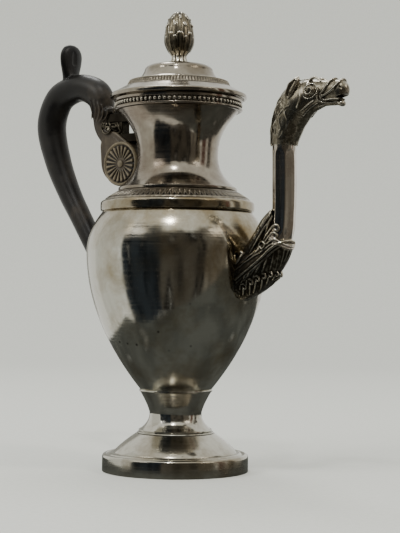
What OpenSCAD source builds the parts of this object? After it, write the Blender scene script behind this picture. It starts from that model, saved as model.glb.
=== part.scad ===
// Silver coffee pot on a turned foot, with a hinged domed lid, a cone finial,
// a tall spout ending in an animal's head and a carved wooden handle.
// Origin: centre of the foot's rest plane. +X towards the spout, -X towards the handle, +Z up.

/* [Foot] */
// Radius of the round plinth that the pot stands on
plinth_r = 47.4; // [44:0.1:52]
// Height of the plinth
plinth_h = 12; // [9:0.1:16]
// Height of the sloping skirt above the plinth
skirt_h = 12.4; // [9:0.1:18]
// Radius of the skirt where it leaves the plinth
skirt_r = 39.9; // [36:0.1:42]
// Radius of the moulded collar under the stem
collar_r = 23.8; // [22:0.1:26]
// Height of the moulded collar
collar_h = 2.8; // [2:0.1:5]
// Height of the flared stem
stem_h = 24.1; // [18:0.1:34]
// Radius at the stem's waist
stem_waist_r = 16.9; // [14:0.1:19]
// Radius of the stem's top, where the body begins
stem_top_r = 23.1; // [21:0.1:26]
// Height of the thin ring between stem and body
stem_ring_h = 1.4; // [1:0.1:3]

/* [Body] */
// Thickness of the raised silver sheet
wall = 1.1; // [0.8:0.05:1.6]
// Largest radius of the egg-shaped body
belly_r = 58.9; // [54:0.1:66]
// Height from the body's bottom up to its largest radius
belly_h = 89.3; // [76:0.1:104]
// Height from the largest radius up to the shoulder band
tuck_h = 26; // [22:0.1:34]
// Radius of the body under the shoulder band
tuck_r = 48.5; // [46:0.1:52]
// Outer radius of the shoulder band
band_r = 50.2; // [49:0.1:53]
// Height of the shoulder band
band_h = 7; // [5:0.1:10]
// Height of the sloping leaf frieze above the band
frieze_h = 6.4; // [5:0.1:9]
// Radius of a strainer hole behind the spout
strainer_hole_r = 1.5; // [1:0.1:2]

/* [Neck] */
// Radius of the plain ring under the neck
neck_ring_r = 38.6; // [37:0.1:41]
// Height of that ring
neck_ring_h = 2.2; // [1.6:0.1:4]
// Radius of the neck's foot
neck_foot_r = 38.2; // [36.8:0.1:38.4]
// Height from the neck's foot to its waist
neck_low_h = 21.5; // [18:0.1:28]
// Radius of the neck's waist
neck_waist_r = 26.2; // [23:0.1:30]
// Height from the waist to the flare under the rim
neck_high_h = 28.4; // [22:0.1:36]
// Radius of the neck's mouth
mouth_r = 39; // [36:0.1:41]
// How far the rim moulding stands out from the mouth
rim_out = 2.9; // [2.2:0.1:4]
// Height of the rim moulding
rim_h = 7.8; // [6.5:0.1:11]

/* [Lid] */
// How far the lid's edge stands out past the rim moulding
lid_over = 2.7; // [1.5:0.1:4]
// Running gap between the lid and the rim
lid_gap = 0.4; // [0.3:0.05:0.6]
// Thickness of the lid's edge
lid_edge_h = 2.8; // [2:0.1:4]
// Rise of the lid's flange up to the strip of leaves
lid_flange_h = 4.9; // [3.5:0.1:8]
// Radius of the strip of leaves
lid_strip_r = 34.3; // [31:0.1:37]
// Height of the strip of leaves
lid_strip_h = 4; // [3:0.1:6]
// Thickness of the strip of leaves
lid_strip_t = 0.9; // [0.6:0.1:1.5]
// Height of the dome above the strip
dome_h = 10.5; // [8:0.1:15]
// Radius of the dome's shoulder
dome_r = 22.4; // [19:0.1:26]
// Depth of the bezel that enters the mouth
bezel_h = 5.5; // [4:0.1:8]
// Gap between the bezel and the neck
bezel_gap = 0.6; // [0.4:0.1:1]

/* [Finial] */
// Height of the finial's stem
finial_stem_h = 8.5; // [6:0.1:12]
// Radius of the finial's flared foot
finial_foot_r = 7; // [6:0.1:9]
// Radius of the finial's stem
finial_stem_r = 5; // [4:0.1:5.6]
// Height of the cone
cone_h = 27; // [22:0.1:34]
// Largest radius of the cone
cone_r = 9.9; // [8.5:0.1:12]
// Radius of the stud that holds the finial
stud_r = 1.5; // [1.2:0.1:2]
// Thickness of the nut on the stud
nut_h = 2.6; // [2:0.1:4]
// Thickness of the washer under the lid
washer_t = 0.8; // [0.6:0.1:1.4]

/* [Hinge] */
// Outer radius of the hinge knuckles
knuckle_r = 2.4; // [2:0.1:3]
// Radius of the hinge pin
hinge_pin_r = 1; // [0.8:0.05:1.2]
// Radial running clearance of the pin in the lid's knuckle
pin_clear = 0.05; // [0.03:0.01:0.09]
// Width of the lid's knuckle
lid_knuckle_w = 6; // [5:0.1:9]
// Width of each knuckle on the pot
pot_knuckle_w = 5; // [4:0.1:7]
// Gap between two knuckles
knuckle_gap = 0.3; // [0.3:0.05:0.6]

/* [Spout] */
// Height of the spout's root below the largest radius
root_below = 15; // [8:0.1:22]
// How far the spout's upright stands from the body's side
spout_stand = 27.2; // [23:0.1:34]
// Outer radius of the spout's tube
tube_r = 7.4; // [6.8:0.1:8.4]
// Wall of the spout's tube
tube_wall = 1.2; // [1:0.1:1.8]
// Height of the join between tube and head, measured down from the lip
head_below = 35.5; // [30:0.1:42]
// Size of the animal's head: one for the full size
head_size = 1; // [0.9:0.01:1.1]
// Width of the head compared with its depth
head_slim = 0.78; // [0.7:0.01:0.9]

/* [Handle] */
// Height of the handle's lower end below the largest radius
handle_below = 22; // [16:0.1:30]
// Slope of the lower socket above the horizontal
socket_slope = 56.4; // [50:0.1:62]
// Length of the lower socket
socket_l = 20; // [16:0.1:26]
// Outer radius of the lower socket
socket_r = 8.6; // [8.2:0.1:10]
// Radius of the wooden tenon in the lower socket
tenon_r = 6.2; // [5:0.1:6.6]
// Furthest reach of the handle's middle line from the body's side
handle_reach = 59.6; // [54:0.1:68]
// Height of the handle's crown line above the lip
crown_up = 15; // [10:0.1:22]
// Thickest diameter of the wood
wood_d = 21.4; // [19:0.1:24]
// Radius of the carved rosette
rosette_r = 15; // [13:0.1:16]
// Gap between the rosette and the neck's waist
rosette_gap = 4.6; // [3:0.1:8]
// Thickness of the carved volute, across
volute_w = 12; // [10:0.1:15]
// Number of petals in a rosette
petals = 20; // [12:1:28]
// Height of the upright thumb leaf above the wood
thumb_h = 22; // [16:0.1:28]
// Width of the thumb leaf, across
thumb_w = 20.4; // [16:0.1:24]
// Width of the silver arms, across
arm_w = 9; // [7:0.1:11]
// Height of the upper arm
upper_arm_h = 6.6; // [4:0.1:8]
// Height of the lower arm
lower_arm_h = 5.4; // [4:0.1:7]
// Distance from the lip down to the underside of the upper arm
clasp_below = 11.4; // [10:0.1:14]
// Height of the cast leaf between the two arms
clasp_h = 8.2; // [6:0.1:10]
// Length of the cast leaf
clasp_l = 14; // [11:0.1:17]
// Radius of the cross pins in the wood
cross_pin_r = 1.1; // [0.8:0.1:1.4]

/* [Hidden] */
$fn = 96;

silver = "#B9B4A6";
dark_silver = "#7E786A";
wood = "#2B2420";

// Levels up the pot, each built on the one below
z_skirt = plinth_h;
z_collar = z_skirt + skirt_h;
z_stem = z_collar + collar_h;
z_ring = z_stem + stem_h;
z_body = z_ring + stem_ring_h;
z_belly = z_body + belly_h;
z_band = z_belly + tuck_h;
z_frieze = z_band + band_h;
z_neck_ring = z_frieze + frieze_h;
z_neck = z_neck_ring + neck_ring_h;
z_waist = z_neck + neck_low_h;
z_flare = z_waist + neck_high_h;
z_lip = z_flare + rim_h;
z_lid = z_lip + lid_gap;
z_strip = z_lid + lid_edge_h + lid_flange_h;
z_dome = z_strip + lid_strip_h;
z_top = z_dome + dome_h;
z_cone = z_top + finial_stem_h;

rim_r = mouth_r + rim_out;
lid_r = rim_r + lid_over;
hinge_x = lid_r + knuckle_r + lid_gap;
hinge_z = z_lip + knuckle_r / 4;
// Clearance all round between a silver piece and the wood or tube that it enters
fit = 0.05;

// ---- small helpers -------------------------------------------------------

function mix(a, b, t) = a + (b - a) * t;
function along(n) = [for (i = [0 : n]) i / n];
function raise(pts, z) = [for (p = pts) [p[0], p[1] + z]];
function backwards(list) = [for (i = [len(list) - 1 : -1 : 0]) list[i]];

// A sheet of one thickness: the outline, then the same outline moved inwards
function sheet(outer, t) = concat(outer, [for (p = backwards(outer)) [p[0] - t, p[1]]]);

// Smooth curve through the given points, with n steps between two of them
function smooth(p, n) = concat([
    for (i = [0 : len(p) - 2]) for (j = [0 : n - 1])
        let (t = j / n, a = p[max(i - 1, 0)], b = p[i], c = p[i + 1], d = p[min(i + 2, len(p) - 1)])
            (2 * b + (c - a) * t + (2 * a - 5 * b + 4 * c - d) * t * t
            + (3 * b - a - 3 * c + d) * t * t * t) / 2
], [p[len(p) - 1]]);

module lathe(points) {
    rotate_extrude() polygon(points);
}

// Rings of a bar that follows a path in the XZ plane. A path point is [x, z, half depth, half width].
function ring_points(path, sides) = [
    for (i = [0 : len(path) - 1])
        let (a = path[max(i - 1, 0)], b = path[min(i + 1, len(path) - 1)],
             dx = b[0] - a[0], dz = b[1] - a[1], l = norm([dx, dz]), p = path[i])
            for (k = [0 : sides - 1])
                let (u = p[2] * cos(360 * k / sides), v = p[3] * sin(360 * k / sides))
                    [p[0] + u * dz / l, v, p[1] - u * dx / l]
];

function skin(rings, sides, first, flip) = [
    for (i = [0 : rings - 2]) for (k = [0 : sides - 1])
        let (a = first + i * sides + k, b = first + i * sides + (k + 1) % sides)
            for (f = [[a, a + sides, b], [b, a + sides, b + sides]]) flip ? backwards(f) : f
];

module bar(path, sides) {
    last = (len(path) - 1) * sides;
    polyhedron(
        points = ring_points(path, sides),
        faces = concat(
            skin(len(path), sides, 0, false),
            [[for (k = [0 : sides - 1]) k], [for (k = [sides - 1 : -1 : 0]) last + k]]
        )
    );
}

// The same bar, hollow, with open ends
module tube(path, t, sides) {
    rings = len(path);
    inner = [for (p = path) [p[0], p[1], p[2] - t, p[3] - t]];
    half = rings * sides;
    last = (rings - 1) * sides;
    polyhedron(
        points = concat(ring_points(path, sides), ring_points(inner, sides)),
        faces = concat(
            skin(rings, sides, 0, false),
            skin(rings, sides, half, true),
            [for (k = [0 : sides - 1]) let (n = (k + 1) % sides)
                for (f = [[k, n, half + n], [k, half + n, half + k]]) f],
            [for (k = [0 : sides - 1]) let (n = (k + 1) % sides)
                for (f = [[last + n, last + k, half + last + k], [last + n, half + last + k, half + last + n]]) f]
        )
    );
}

module ball(p, r) {
    translate([p[0], 0, p[1]]) sphere(r, $fn = 24);
}

// A blend between two balls on the XZ plane, each given as [x, z, radius]
module link(a, b) {
    hull() {
        ball(a, a[2]);
        ball(b, b[2]);
    }
}

// ---- foot ----------------------------------------------------------------

module foot_plinth() {
    color(silver) lathe([
        [plinth_r - 3, 0], [plinth_r, 0], [plinth_r, plinth_h - 2.4], [plinth_r - 0.4, plinth_h - 1.3],
        [plinth_r - 1.4, plinth_h - 0.7], [plinth_r - 2.6, plinth_h - 0.6], [plinth_r - 3, plinth_h - 1.2],
        [plinth_r - 4, plinth_h - 1.2], [plinth_r - 4.6, plinth_h - 0.5], [plinth_r - 5.6, plinth_h],
        [skirt_r - 3, plinth_h], [skirt_r - 3, plinth_h - 2.6], [plinth_r - 3, plinth_h - 2.6]
    ]);
}

module foot_skirt() {
    slope = [for (t = along(6)) [mix(skirt_r, collar_r + 1.7, pow(t, 1.25)), z_skirt + skirt_h * t]];
    color(silver) lathe(sheet(slope, 2 * wall));
}

module stem_collar() {
    r = collar_r;
    h = collar_h;
    color(silver) lathe(sheet(raise([
        [r + 0.6, 0], [r + 1, h * 0.18], [r + 0.4, h * 0.4], [r - 0.5, h * 0.45], [r - 0.5, h * 0.55],
        [r - 0.1, h * 0.62], [r, h * 0.8], [r - 0.5, h]
    ], z_collar), 3.4));
}

function stem_low_r(t) = mix(stem_waist_r, collar_r - 1, pow(t, 2.2));
function stem_high_r(t) = mix(stem_waist_r, stem_top_r, pow(t, 1.35));

module foot_stem() {
    low = 0.42 * stem_h;
    outer = concat(
        [for (t = along(8)) [stem_low_r(1 - t), z_stem + low * t]],
        [for (i = [1 : 8]) [stem_high_r(i / 8), z_stem + low + (stem_h - low) * i / 8]]
    );
    color(silver) lathe(sheet(outer, wall));
}

module stem_ring() {
    r = stem_top_r;
    color(silver) lathe(sheet(raise([
        [r, 0], [r + 0.7, stem_ring_h * 0.25], [r + 0.7, stem_ring_h * 0.75], [r, stem_ring_h]
    ], z_ring), 4));
}

// ---- body ----------------------------------------------------------------

// Radius of the body's outside at height z
function body_r(z) = z < z_belly
    ? belly_r - (belly_r - stem_top_r) * pow((z_belly - z) / belly_h, 2)
    : belly_r - (belly_r - tuck_r) * pow((z - z_belly) / tuck_h, 2);

function body_outline(out) = [
    for (z = concat([for (t = along(18)) z_body + belly_h * t], [for (i = [1 : 7]) z_belly + tuck_h * i / 7]))
        [body_r(z) + out, z]
];

// Everything inside the body's outside, for seating what is soldered to it
module body_solid(out) {
    lathe(concat([[0, z_body]], body_outline(out), [[0, z_band]]));
}

root_z = z_belly - root_below;

// Seven small holes behind the spout keep the grounds in the pot
module strainer_holes() {
    pitch = 2.8 * strainer_hole_r;
    translate([body_r(root_z), 0, root_z]) rotate([0, 90, 0]) {
        cylinder(r = strainer_hole_r, h = 8, center = true);
        for (k = [0 : 5]) rotate(60 * k) translate([pitch, 0, 0])
            cylinder(r = strainer_hole_r, h = 8, center = true);
    }
}

module body_bowl() {
    outer = body_outline(0);
    inner = [for (p = backwards(outer)) if (p[1] > z_body + wall) [p[0] - wall, p[1]]];
    floor_r = body_r(z_body + wall) - wall;
    color(silver) difference() {
        lathe(concat([[0, z_body]], outer, inner, [[floor_r, z_body + wall], [0, z_body + wall]]));
        strainer_holes();
    }
}

module shoulder_band() {
    r = band_r;
    h = band_h;
    color(silver) lathe(raise([
        [tuck_r - 2 * wall, 0], [tuck_r, 0], [r - 0.8, 0], [r - 0.2, 0.5], [r, 1.2], [r, h - 2],
        [r - 0.4, h - 1], [r - 1.2, h - 0.3], [r - 2.2, h], [tuck_r - 2 * wall, h]
    ], z_band));
}

module shoulder_frieze() {
    slope = [
        [band_r - 2.2, 0], [band_r - 3, frieze_h * 0.16], [neck_ring_r + 1.4, frieze_h * 0.86],
        [neck_ring_r, frieze_h]
    ];
    color(dark_silver) lathe(sheet(raise(slope, z_frieze), 1.6 * wall));
}

module neck_ring() {
    r = neck_ring_r;
    h = neck_ring_h;
    color(silver) lathe(sheet(raise([
        [r - 0.4, 0], [r + 0.2, h * 0.3], [r + 0.2, h * 0.7], [r - 0.4, h]
    ], z_neck_ring), 2 * wall));
}

// ---- neck and rim --------------------------------------------------------

function neck_low_r(t) = mix(neck_waist_r, neck_foot_r, pow(t, 2.4));
function neck_high_r(t) = mix(neck_waist_r, mouth_r, pow(t, 2.2));

neck_outline = concat(
    [for (t = along(12)) [neck_low_r(1 - t), z_neck + neck_low_h * t]],
    [for (i = [1 : 12]) [neck_high_r(i / 12), z_waist + neck_high_h * i / 12]],
    [[mouth_r, z_lip]]
);

// Everything inside the neck's outside, for seating the handle's arms
module neck_solid() {
    lathe(concat([[0, z_neck]], neck_outline, [[0, z_lip]]));
}

module neck() {
    color(silver) lathe(sheet(neck_outline, wall));
}

groove_z = rim_h * 0.3;
groove_h = rim_h * 0.38;
bead_seat_r = rim_r - 1.5;

module rim_band() {
    r = rim_r;
    color(silver) lathe(raise([
        [mouth_r, 0], [r - 1.2, 0], [r - 0.4, 0.5], [r, groove_z * 0.45], [r - 0.3, groove_z * 0.85],
        [bead_seat_r, groove_z], [bead_seat_r, groove_z + groove_h], [r - 0.2, groove_z + groove_h + 0.3],
        [r, rim_h - 1.2], [r, rim_h - 0.4], [r - 0.4, rim_h], [mouth_r, rim_h]
    ], z_flare));
}

module rim_beading() {
    bead = groove_h / 2 - 0.1;
    middle = z_flare + groove_z + groove_h / 2;
    color(dark_silver) lathe(concat(
        [for (k = [0 : 8]) let (a = 180 * k / 8 - 90) [rim_r - 1.4 + 1.4 * cos(a), middle + bead * sin(a)]],
        [[bead_seat_r, middle + bead], [bead_seat_r, middle - bead]]
    ));
}

// ---- lid -----------------------------------------------------------------

shell_r = lid_strip_r - lid_strip_t;
lid_outline = concat(
    raise([
        [lid_r - 0.5, 0], [lid_r, 0.6], [lid_r, lid_edge_h - 0.8], [lid_r - 0.7, lid_edge_h],
        [mix(lid_r, lid_strip_r, 0.5), lid_edge_h + 0.42 * lid_flange_h],
        [lid_strip_r + 0.3, lid_edge_h + lid_flange_h]
    ], z_lid),
    [[shell_r, z_strip], [shell_r, z_dome]],
    [for (t = along(5)) [mix(shell_r - 4, dome_r, pow(t, 0.6)), mix(z_dome, z_dome + 0.62 * dome_h, pow(t, 1.5))]],
    [for (i = [1 : 5]) let (a = 90 * i / 5)
        [dome_r - 7 * (1 - cos(a)), z_dome + dome_h * (0.62 + 0.38 * sin(a))]]
);

// Underside of the lid's flange at radius r
function under_flange(r) = z_lid + wall * 0.9 + (lid_edge_h + lid_flange_h - 2 * wall)
    * (lid_r - 2 * wall - r) / (lid_r - 2 * wall - shell_r + wall);

module lid_cover() {
    under = concat(
        [[0, z_top - wall], [dome_r - 7 - wall, z_top - wall]],
        [[dome_r - 1.5 * wall, z_dome + 0.62 * dome_h], [dome_r + 1.5 * wall, z_dome + wall],
         [shell_r - wall, z_dome - wall]],
        [for (r = [shell_r - wall, lid_r - 2 * wall]) [r, under_flange(r)]],
        [[lid_r - 2 * wall, z_lid]]
    );
    color(silver) difference() {
        lathe(concat(under, lid_outline, [[0, z_top]]));
        translate([0, 0, z_top - 3 * wall]) cylinder(r = stud_r + fit, h = 6 * wall);
    }
}

module lid_strip() {
    color(dark_silver) lathe([
        [shell_r, z_strip], [lid_strip_r, z_strip], [lid_strip_r, z_dome - 0.6], [lid_strip_r - 0.3, z_dome],
        [shell_r, z_dome]
    ]);
}

module lid_bezel() {
    r = mouth_r - wall - bezel_gap;
    color(silver) lathe([
        [r - wall, z_lid - bezel_h], [r, z_lid - bezel_h], [r, under_flange(r)], [r - wall, under_flange(r - wall)]
    ]);
}

// ---- finial --------------------------------------------------------------

cup_r = 0.74 * cone_r;

module finial_stem() {
    h = finial_stem_h;
    color(silver) difference() {
        lathe(raise([
            [0, 0], [finial_foot_r, 0], [finial_foot_r, 0.5], [finial_stem_r + 0.7, 1.8], [finial_stem_r, h * 0.4],
            [finial_stem_r, h * 0.7], [cup_r, h], [0, h]
        ], z_top));
        translate([0, 0, z_top - 1]) cylinder(r = stud_r, h = h + 2);
    }
}

// Outline of the cone at height share t
function cone_at(t) = t < 0.26
    ? mix(cup_r, cone_r, sin(90 * t / 0.26))
    : cone_r * sqrt(max(0, 1 - pow((t - 0.26) / 0.74, 2.1)));

module cone_scale(t, turn, size) {
    rotate(turn) hull() {
        translate([cone_at(t) - size * 0.78, 0, z_cone + cone_h * t]) sphere(size * 0.8, $fn = 12);
        translate([cone_at(t + 0.12) - size * 0.4, 0, z_cone + cone_h * (t + 0.12)]) sphere(size * 0.5, $fn = 12);
    }
}

module finial_cone() {
    color(dark_silver) difference() {
        union() {
            rotate_extrude($fn = 48) polygon(concat([[0, z_cone]],
                [for (t = along(14)) [max(0, cone_at(t) - (t > 0.02 && t < 0.95 ? 0.5 : 0)), z_cone + cone_h * t]]));
            for (k = [0 : 7]) cone_scale(0.26, 45 * k, 0.27 * cone_r);
            for (k = [0 : 6]) cone_scale(0.52, 360 * (k + 0.5) / 7, 0.24 * cone_r);
            for (k = [0 : 4]) cone_scale(0.74, 72 * k, 0.19 * cone_r);
        }
        translate([0, 0, z_cone - 1]) cylinder(r = stud_r + fit, h = 0.25 * cone_h + 1, $fn = 32);
    }
}

module finial_stud() {
    low = z_top - wall - washer_t - nut_h - 1.2;
    color(silver) translate([0, 0, low]) cylinder(r = stud_r, h = z_cone + 0.22 * cone_h - low);
}

module finial_washer() {
    color(silver) translate([0, 0, z_top - wall - washer_t]) difference() {
        cylinder(r = 3 * stud_r, h = washer_t);
        translate([0, 0, -1]) cylinder(r = stud_r, h = washer_t + 2);
    }
}

module finial_nut() {
    color(silver) translate([0, 0, z_top - wall - washer_t - nut_h]) difference() {
        cylinder(r = 2.4 * stud_r, h = nut_h, $fn = 6);
        translate([0, 0, -1]) cylinder(r = stud_r, h = nut_h + 2);
    }
}

// ---- hinge ---------------------------------------------------------------

hinge_w = lid_knuckle_w + 2 * knuckle_gap + 2 * pot_knuckle_w;

module across(r, w) {
    translate([-hinge_x, 0, hinge_z]) rotate([90, 0, 0]) cylinder(r = r, h = w, center = true);
}

// Two knuckles on a small seat soldered to the rim
module hinge_seat() {
    inner_w = lid_knuckle_w + 2 * knuckle_gap;
    color(silver) difference() {
        union() {
            across(knuckle_r, hinge_w);
            translate([-hinge_x - knuckle_r, -hinge_w / 2, hinge_z - 2 * knuckle_r])
                cube([hinge_x - rim_r + 2 * knuckle_r, hinge_w, 2 * knuckle_r]);
        }
        across(knuckle_r + knuckle_gap, inner_w);
        translate([-hinge_x - 2 * knuckle_r, -inner_w / 2, hinge_z - knuckle_r - knuckle_gap])
            cube([4 * knuckle_r, inner_w, 3 * knuckle_r]);
        across(hinge_pin_r, hinge_w + 2);
        cylinder(r = rim_r, h = 2 * z_lip);
        translate([0, 0, z_lip]) cylinder(r = lid_r + lid_gap, h = 4 * knuckle_r);
    }
}

module hinge_pin() {
    color(silver) across(hinge_pin_r, hinge_w);
}

// The lid's knuckle, with a strap that meets the edge of the flange
module lid_knuckle() {
    strap_low = z_lid + 0.9;
    strap_high = z_lid + lid_edge_h - 0.9;
    color(silver) difference() {
        union() {
            across(knuckle_r, lid_knuckle_w);
            translate([-hinge_x, -lid_knuckle_w / 2, strap_low])
                cube([hinge_x - lid_r + 3, lid_knuckle_w, strap_high - strap_low]);
        }
        across(hinge_pin_r + pin_clear, lid_knuckle_w + 2);
        cylinder(r = lid_r, h = 2 * z_lip);
    }
}

// ---- spout ---------------------------------------------------------------

up_x = belly_r + spout_stand;
head_z = z_lip - head_below;
side_x = body_r(root_z);
rise = head_z - root_z;

// Middle line of the spout from its root to the join with the head
spout_line = concat(smooth([
    [side_x + 8, root_z + 6.5, tube_r, tube_r],
    [mix(side_x, up_x, 0.64), root_z + 14, tube_r, tube_r],
    [up_x - 1.3, root_z + 25, tube_r, tube_r],
    [up_x + 0.4, root_z + 38, tube_r, tube_r],
    [up_x + 0.6, mix(root_z, head_z, 0.72), tube_r + 0.2, tube_r + 0.2],
    [up_x + 0.2, head_z - 1.5, tube_r, tube_r]
], 4), [[up_x + 0.2, head_z, tube_r, tube_r]]);

module spout_tube() {
    color(silver) tube(spout_line, tube_wall, 16);
}

// Middle line of the cast leaf mount, thick at the body and slim at the tube
mount_line = smooth([
    [side_x - 6, root_z - 2, 15.5, 12],
    [side_x + 3, root_z + 1.2, 14.8, 11.5],
    [side_x + 12, root_z + 6, 12.9, 11],
    [side_x + 20.5, root_z + 13.5, 10.8, 10.2],
    [up_x - 2.2, root_z + 20.5, 8.9, 9.4]
], 4);

// Leaf that climbs the inner side of the tube
climbing_leaf = smooth([
    [side_x + 4, root_z + 10, 8, 9],
    [side_x + 12.5, root_z + 22, 6, 8.5],
    [side_x + 18, root_z + 32, 4.8, 7.4],
    [side_x + 22.5, root_z + 39.5, 2, 5]
], 3);

// Scrolled tip of a leaf, given by its place along the climb and its side
module leaf_tip(t, side) {
    x = up_x + mix(-9.5, -2.6, sin(120 * t));
    z = root_z + mix(16, 35, t);
    y = side * mix(9.2, 5.6, t);
    hull() {
        translate([x, y, z]) sphere(2, $fn = 14);
        translate([x - 7, y * 0.8, z - 7]) sphere(1.5, $fn = 12);
    }
}

module spout_mount() {
    chamber = spout_line[0];
    bore = tube_r - tube_wall;
    color(dark_silver) difference() {
        union() {
            bar(climbing_leaf, 16);
            difference() {
                union() {
                    bar(mount_line, 20);
                    for (t = [0.1, 0.4, 0.7, 0.95], side = [-1, 1]) leaf_tip(t, side);
                }
                collar_ring(fit);
            }
        }
        tube_seat();
        hull() {
            ball(chamber, bore);
            translate([side_x, 0, root_z]) rotate([0, 90, 0])
                cylinder(r = 4.4 * strainer_hole_r, h = 2, center = true, $fn = 24);
        }
        body_solid(0);
    }
}

// The space that the tube takes up in what is soldered round it
module tube_seat() {
    bar([for (p = spout_line) [p[0], p[1], p[2] + fit, p[3] + fit]], 16);
}

module collar_ring(grow) {
    last = mount_line[len(mount_line) - 1];
    before = mount_line[len(mount_line) - 2];
    lean = atan2(last[0] - before[0], last[1] - before[1]);
    translate([last[0], 0, last[1]]) rotate([0, lean, 0]) rotate_extrude($fn = 48)
        polygon([
            [tube_r - 1, -grow], [last[2] + 0.4 + grow, -grow], [last[2] + 0.8 + grow, 0.8],
            [last[2] + 0.1 + grow, 1.4], [last[2] + 0.4 + grow, 2.1], [last[2] - 0.3 + grow, 2.8 + grow],
            [tube_r - 1, 2.8 + grow]
        ]);
}

// Moulded ring where the leaf mount gives way to the plain tube
module spout_collar() {
    color(dark_silver) difference() {
        collar_ring(0);
        tube_seat();
        bar(climbing_leaf, 16);
    }
}

// The head is laid out from the join, at full size, and scaled about it
neck_root = [0, 0, 8.4];
neck_low = [1.6, 7.5, 10.2];
neck_mid = [5, 16.8, 11.4];
neck_top = [11.2, 25.5, 12.2];
skull = [19.6, 29.4, 10];
muzzle = [30, 31, 6.9];
nose = [41.4, 30.8, 6.6];
cheek = [18.6, 23.6, 5.8];
jaw = [31.5, 24.3, 2.1];
jaw_tip = [43.2, 23.3, 1.5];

module ear(side) {
    hull() {
        translate([8.5, side * 6.2, 36]) sphere(1.2, $fn = 12);
        translate([14, side * 7.6, 31.5]) sphere(3, $fn = 16);
    }
}

module eye(side) {
    translate([24.4, side * 7.4, 31.4]) sphere(3.9, $fn = 24);
}

module head_forms() {
    link(neck_root, neck_low);
    link(neck_low, neck_mid);
    link(neck_mid, neck_top);
    link(neck_top, skull);
    link(skull, muzzle);
    link(muzzle, nose);
    link(neck_top, cheek);
    link(cheek, jaw);
    link(jaw, jaw_tip);
    for (side = [-1, 1]) {
        ear(side);
        eye(side);
    }
}

module spout_head() {
    color(dark_silver) translate([up_x - 0.7, 0, head_z]) scale(head_size) difference() {
        union() {
            translate([0.9, 0, 0]) cylinder(r1 = tube_r + 0.4, r2 = tube_r, h = 8, $fn = 32);
            scale([1, head_slim, 1]) head_forms();
        }
        translate([-20, -20, -20]) cube([60, 40, 20]);
        bar(smooth([[0.7, -1, 5.6, 5.6], [2, 8, 5.6, 5.6], [9, 19, 5, 5], [19, 26.2, 3, 4.2],
            [32, 27.2, 1.3, 3.6], [52, 26.6, 1.5, 5]], 3), 16);
    }
}

// ---- handle --------------------------------------------------------------

low_z = z_belly - handle_below;
low_x = -body_r(low_z);
dir_x = -cos(socket_slope);
dir_z = sin(socket_slope);
volute_x = -(neck_waist_r + rosette_gap + rosette_r);
volute_z = z_waist - 3.6;
far_x = -(belly_r + handle_reach);
mouth = [low_x + dir_x * socket_l, low_z + dir_z * socket_l];
crown_z = z_lip + crown_up;
d = wood_d;

// Middle line of the wood, from the lower socket over the crown and down to the volute
wood_line = smooth([
    [mouth[0], mouth[1], 0.33 * d, 0.33 * d],
    [mix(mouth[0], far_x, 0.4), mix(mouth[1], crown_z, 0.25), 0.35 * d, 0.34 * d],
    [mix(mouth[0], far_x, 0.635), mix(mouth[1], crown_z, 0.4), 0.385 * d, 0.36 * d],
    [mix(mouth[0], far_x, 0.855), mix(mouth[1], crown_z, 0.58), 0.44 * d, 0.41 * d],
    [far_x, mix(mouth[1], crown_z, 0.79), 0.5 * d, 0.45 * d],
    [mix(far_x, volute_x, 0.09), mix(mouth[1], crown_z, 0.94), 0.48 * d, 0.45 * d],
    [mix(far_x, volute_x, 0.27), crown_z - 0.5, 0.45 * d, 0.43 * d],
    [mix(far_x, volute_x, 0.46), crown_z, 0.44 * d, 0.42 * d],
    [mix(far_x, volute_x, 0.643), mix(volute_z, crown_z, 0.875), 0.46 * d, 0.4 * d],
    [mix(far_x, volute_x, 0.695), mix(volute_z, crown_z, 0.64), 0.37 * d, 0.34 * d],
    [mix(far_x, volute_x, 0.72), mix(volute_z, crown_z, 0.47), 0.34 * d, 0.31 * d],
    [mix(far_x, volute_x, 0.82), mix(volute_z, crown_z, 0.31), 0.36 * d, volute_w / 2],
    [volute_x - 4, volute_z + 4, 0.6 * rosette_r, volute_w / 2]
], 3);

module upright(x, z, r, w) {
    translate([x, 0, z]) rotate([90, 0, 0]) cylinder(r = r, h = w, center = true, $fn = 40);
}

// Rounded leaf that the thumb presses, standing on the crown
module thumb_leaf() {
    x = mix(far_x, volute_x, 0.26);
    foot = crown_z + 0.3 * d;
    top = crown_z + 0.45 * d + thumb_h;
    hull() {
        translate([x, 0, foot]) scale([0.42, 0.62, 0.5]) sphere(thumb_w / 2, $fn = 24);
        translate([x - 0.5, 0, mix(foot, top, 0.5)]) scale([0.4, 0.9, 0.5]) sphere(thumb_w / 2, $fn = 24);
    }
    hull() {
        translate([x - 0.5, 0, mix(foot, top, 0.5)]) scale([0.4, 0.9, 0.5]) sphere(thumb_w / 2, $fn = 24);
        translate([x, 0, top - 0.4 * thumb_w]) scale([0.36, 1, 0.8]) sphere(thumb_w / 2, $fn = 24);
    }
}

// Carved petals round a button, on one face of the volute
module rosette(side) {
    face = side * volute_w / 2;
    for (k = [0 : petals - 1]) translate([volute_x, face, volute_z]) rotate([0, 360 * k / petals, 0]) hull() {
        translate([rosette_r * 0.3, 0, 0]) sphere(rosette_r * 0.04, $fn = 8);
        translate([rosette_r * 0.76, 0, 0]) sphere(rosette_r * 0.085, $fn = 8);
    }
    translate([volute_x, face, volute_z]) rotate([90, 0, 0]) {
        cylinder(r = rosette_r * 0.18, h = 2.4, center = true, $fn = 24);
        difference() {
            cylinder(r = rosette_r * 0.98, h = 2.2, center = true, $fn = 60);
            cylinder(r = rosette_r * 0.87, h = 3, center = true, $fn = 60);
        }
    }
}

clasp_high = z_lip - clasp_below;
clasp_low = clasp_high - clasp_h;
clasp_back = mix(far_x, volute_x, 0.80);

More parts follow.
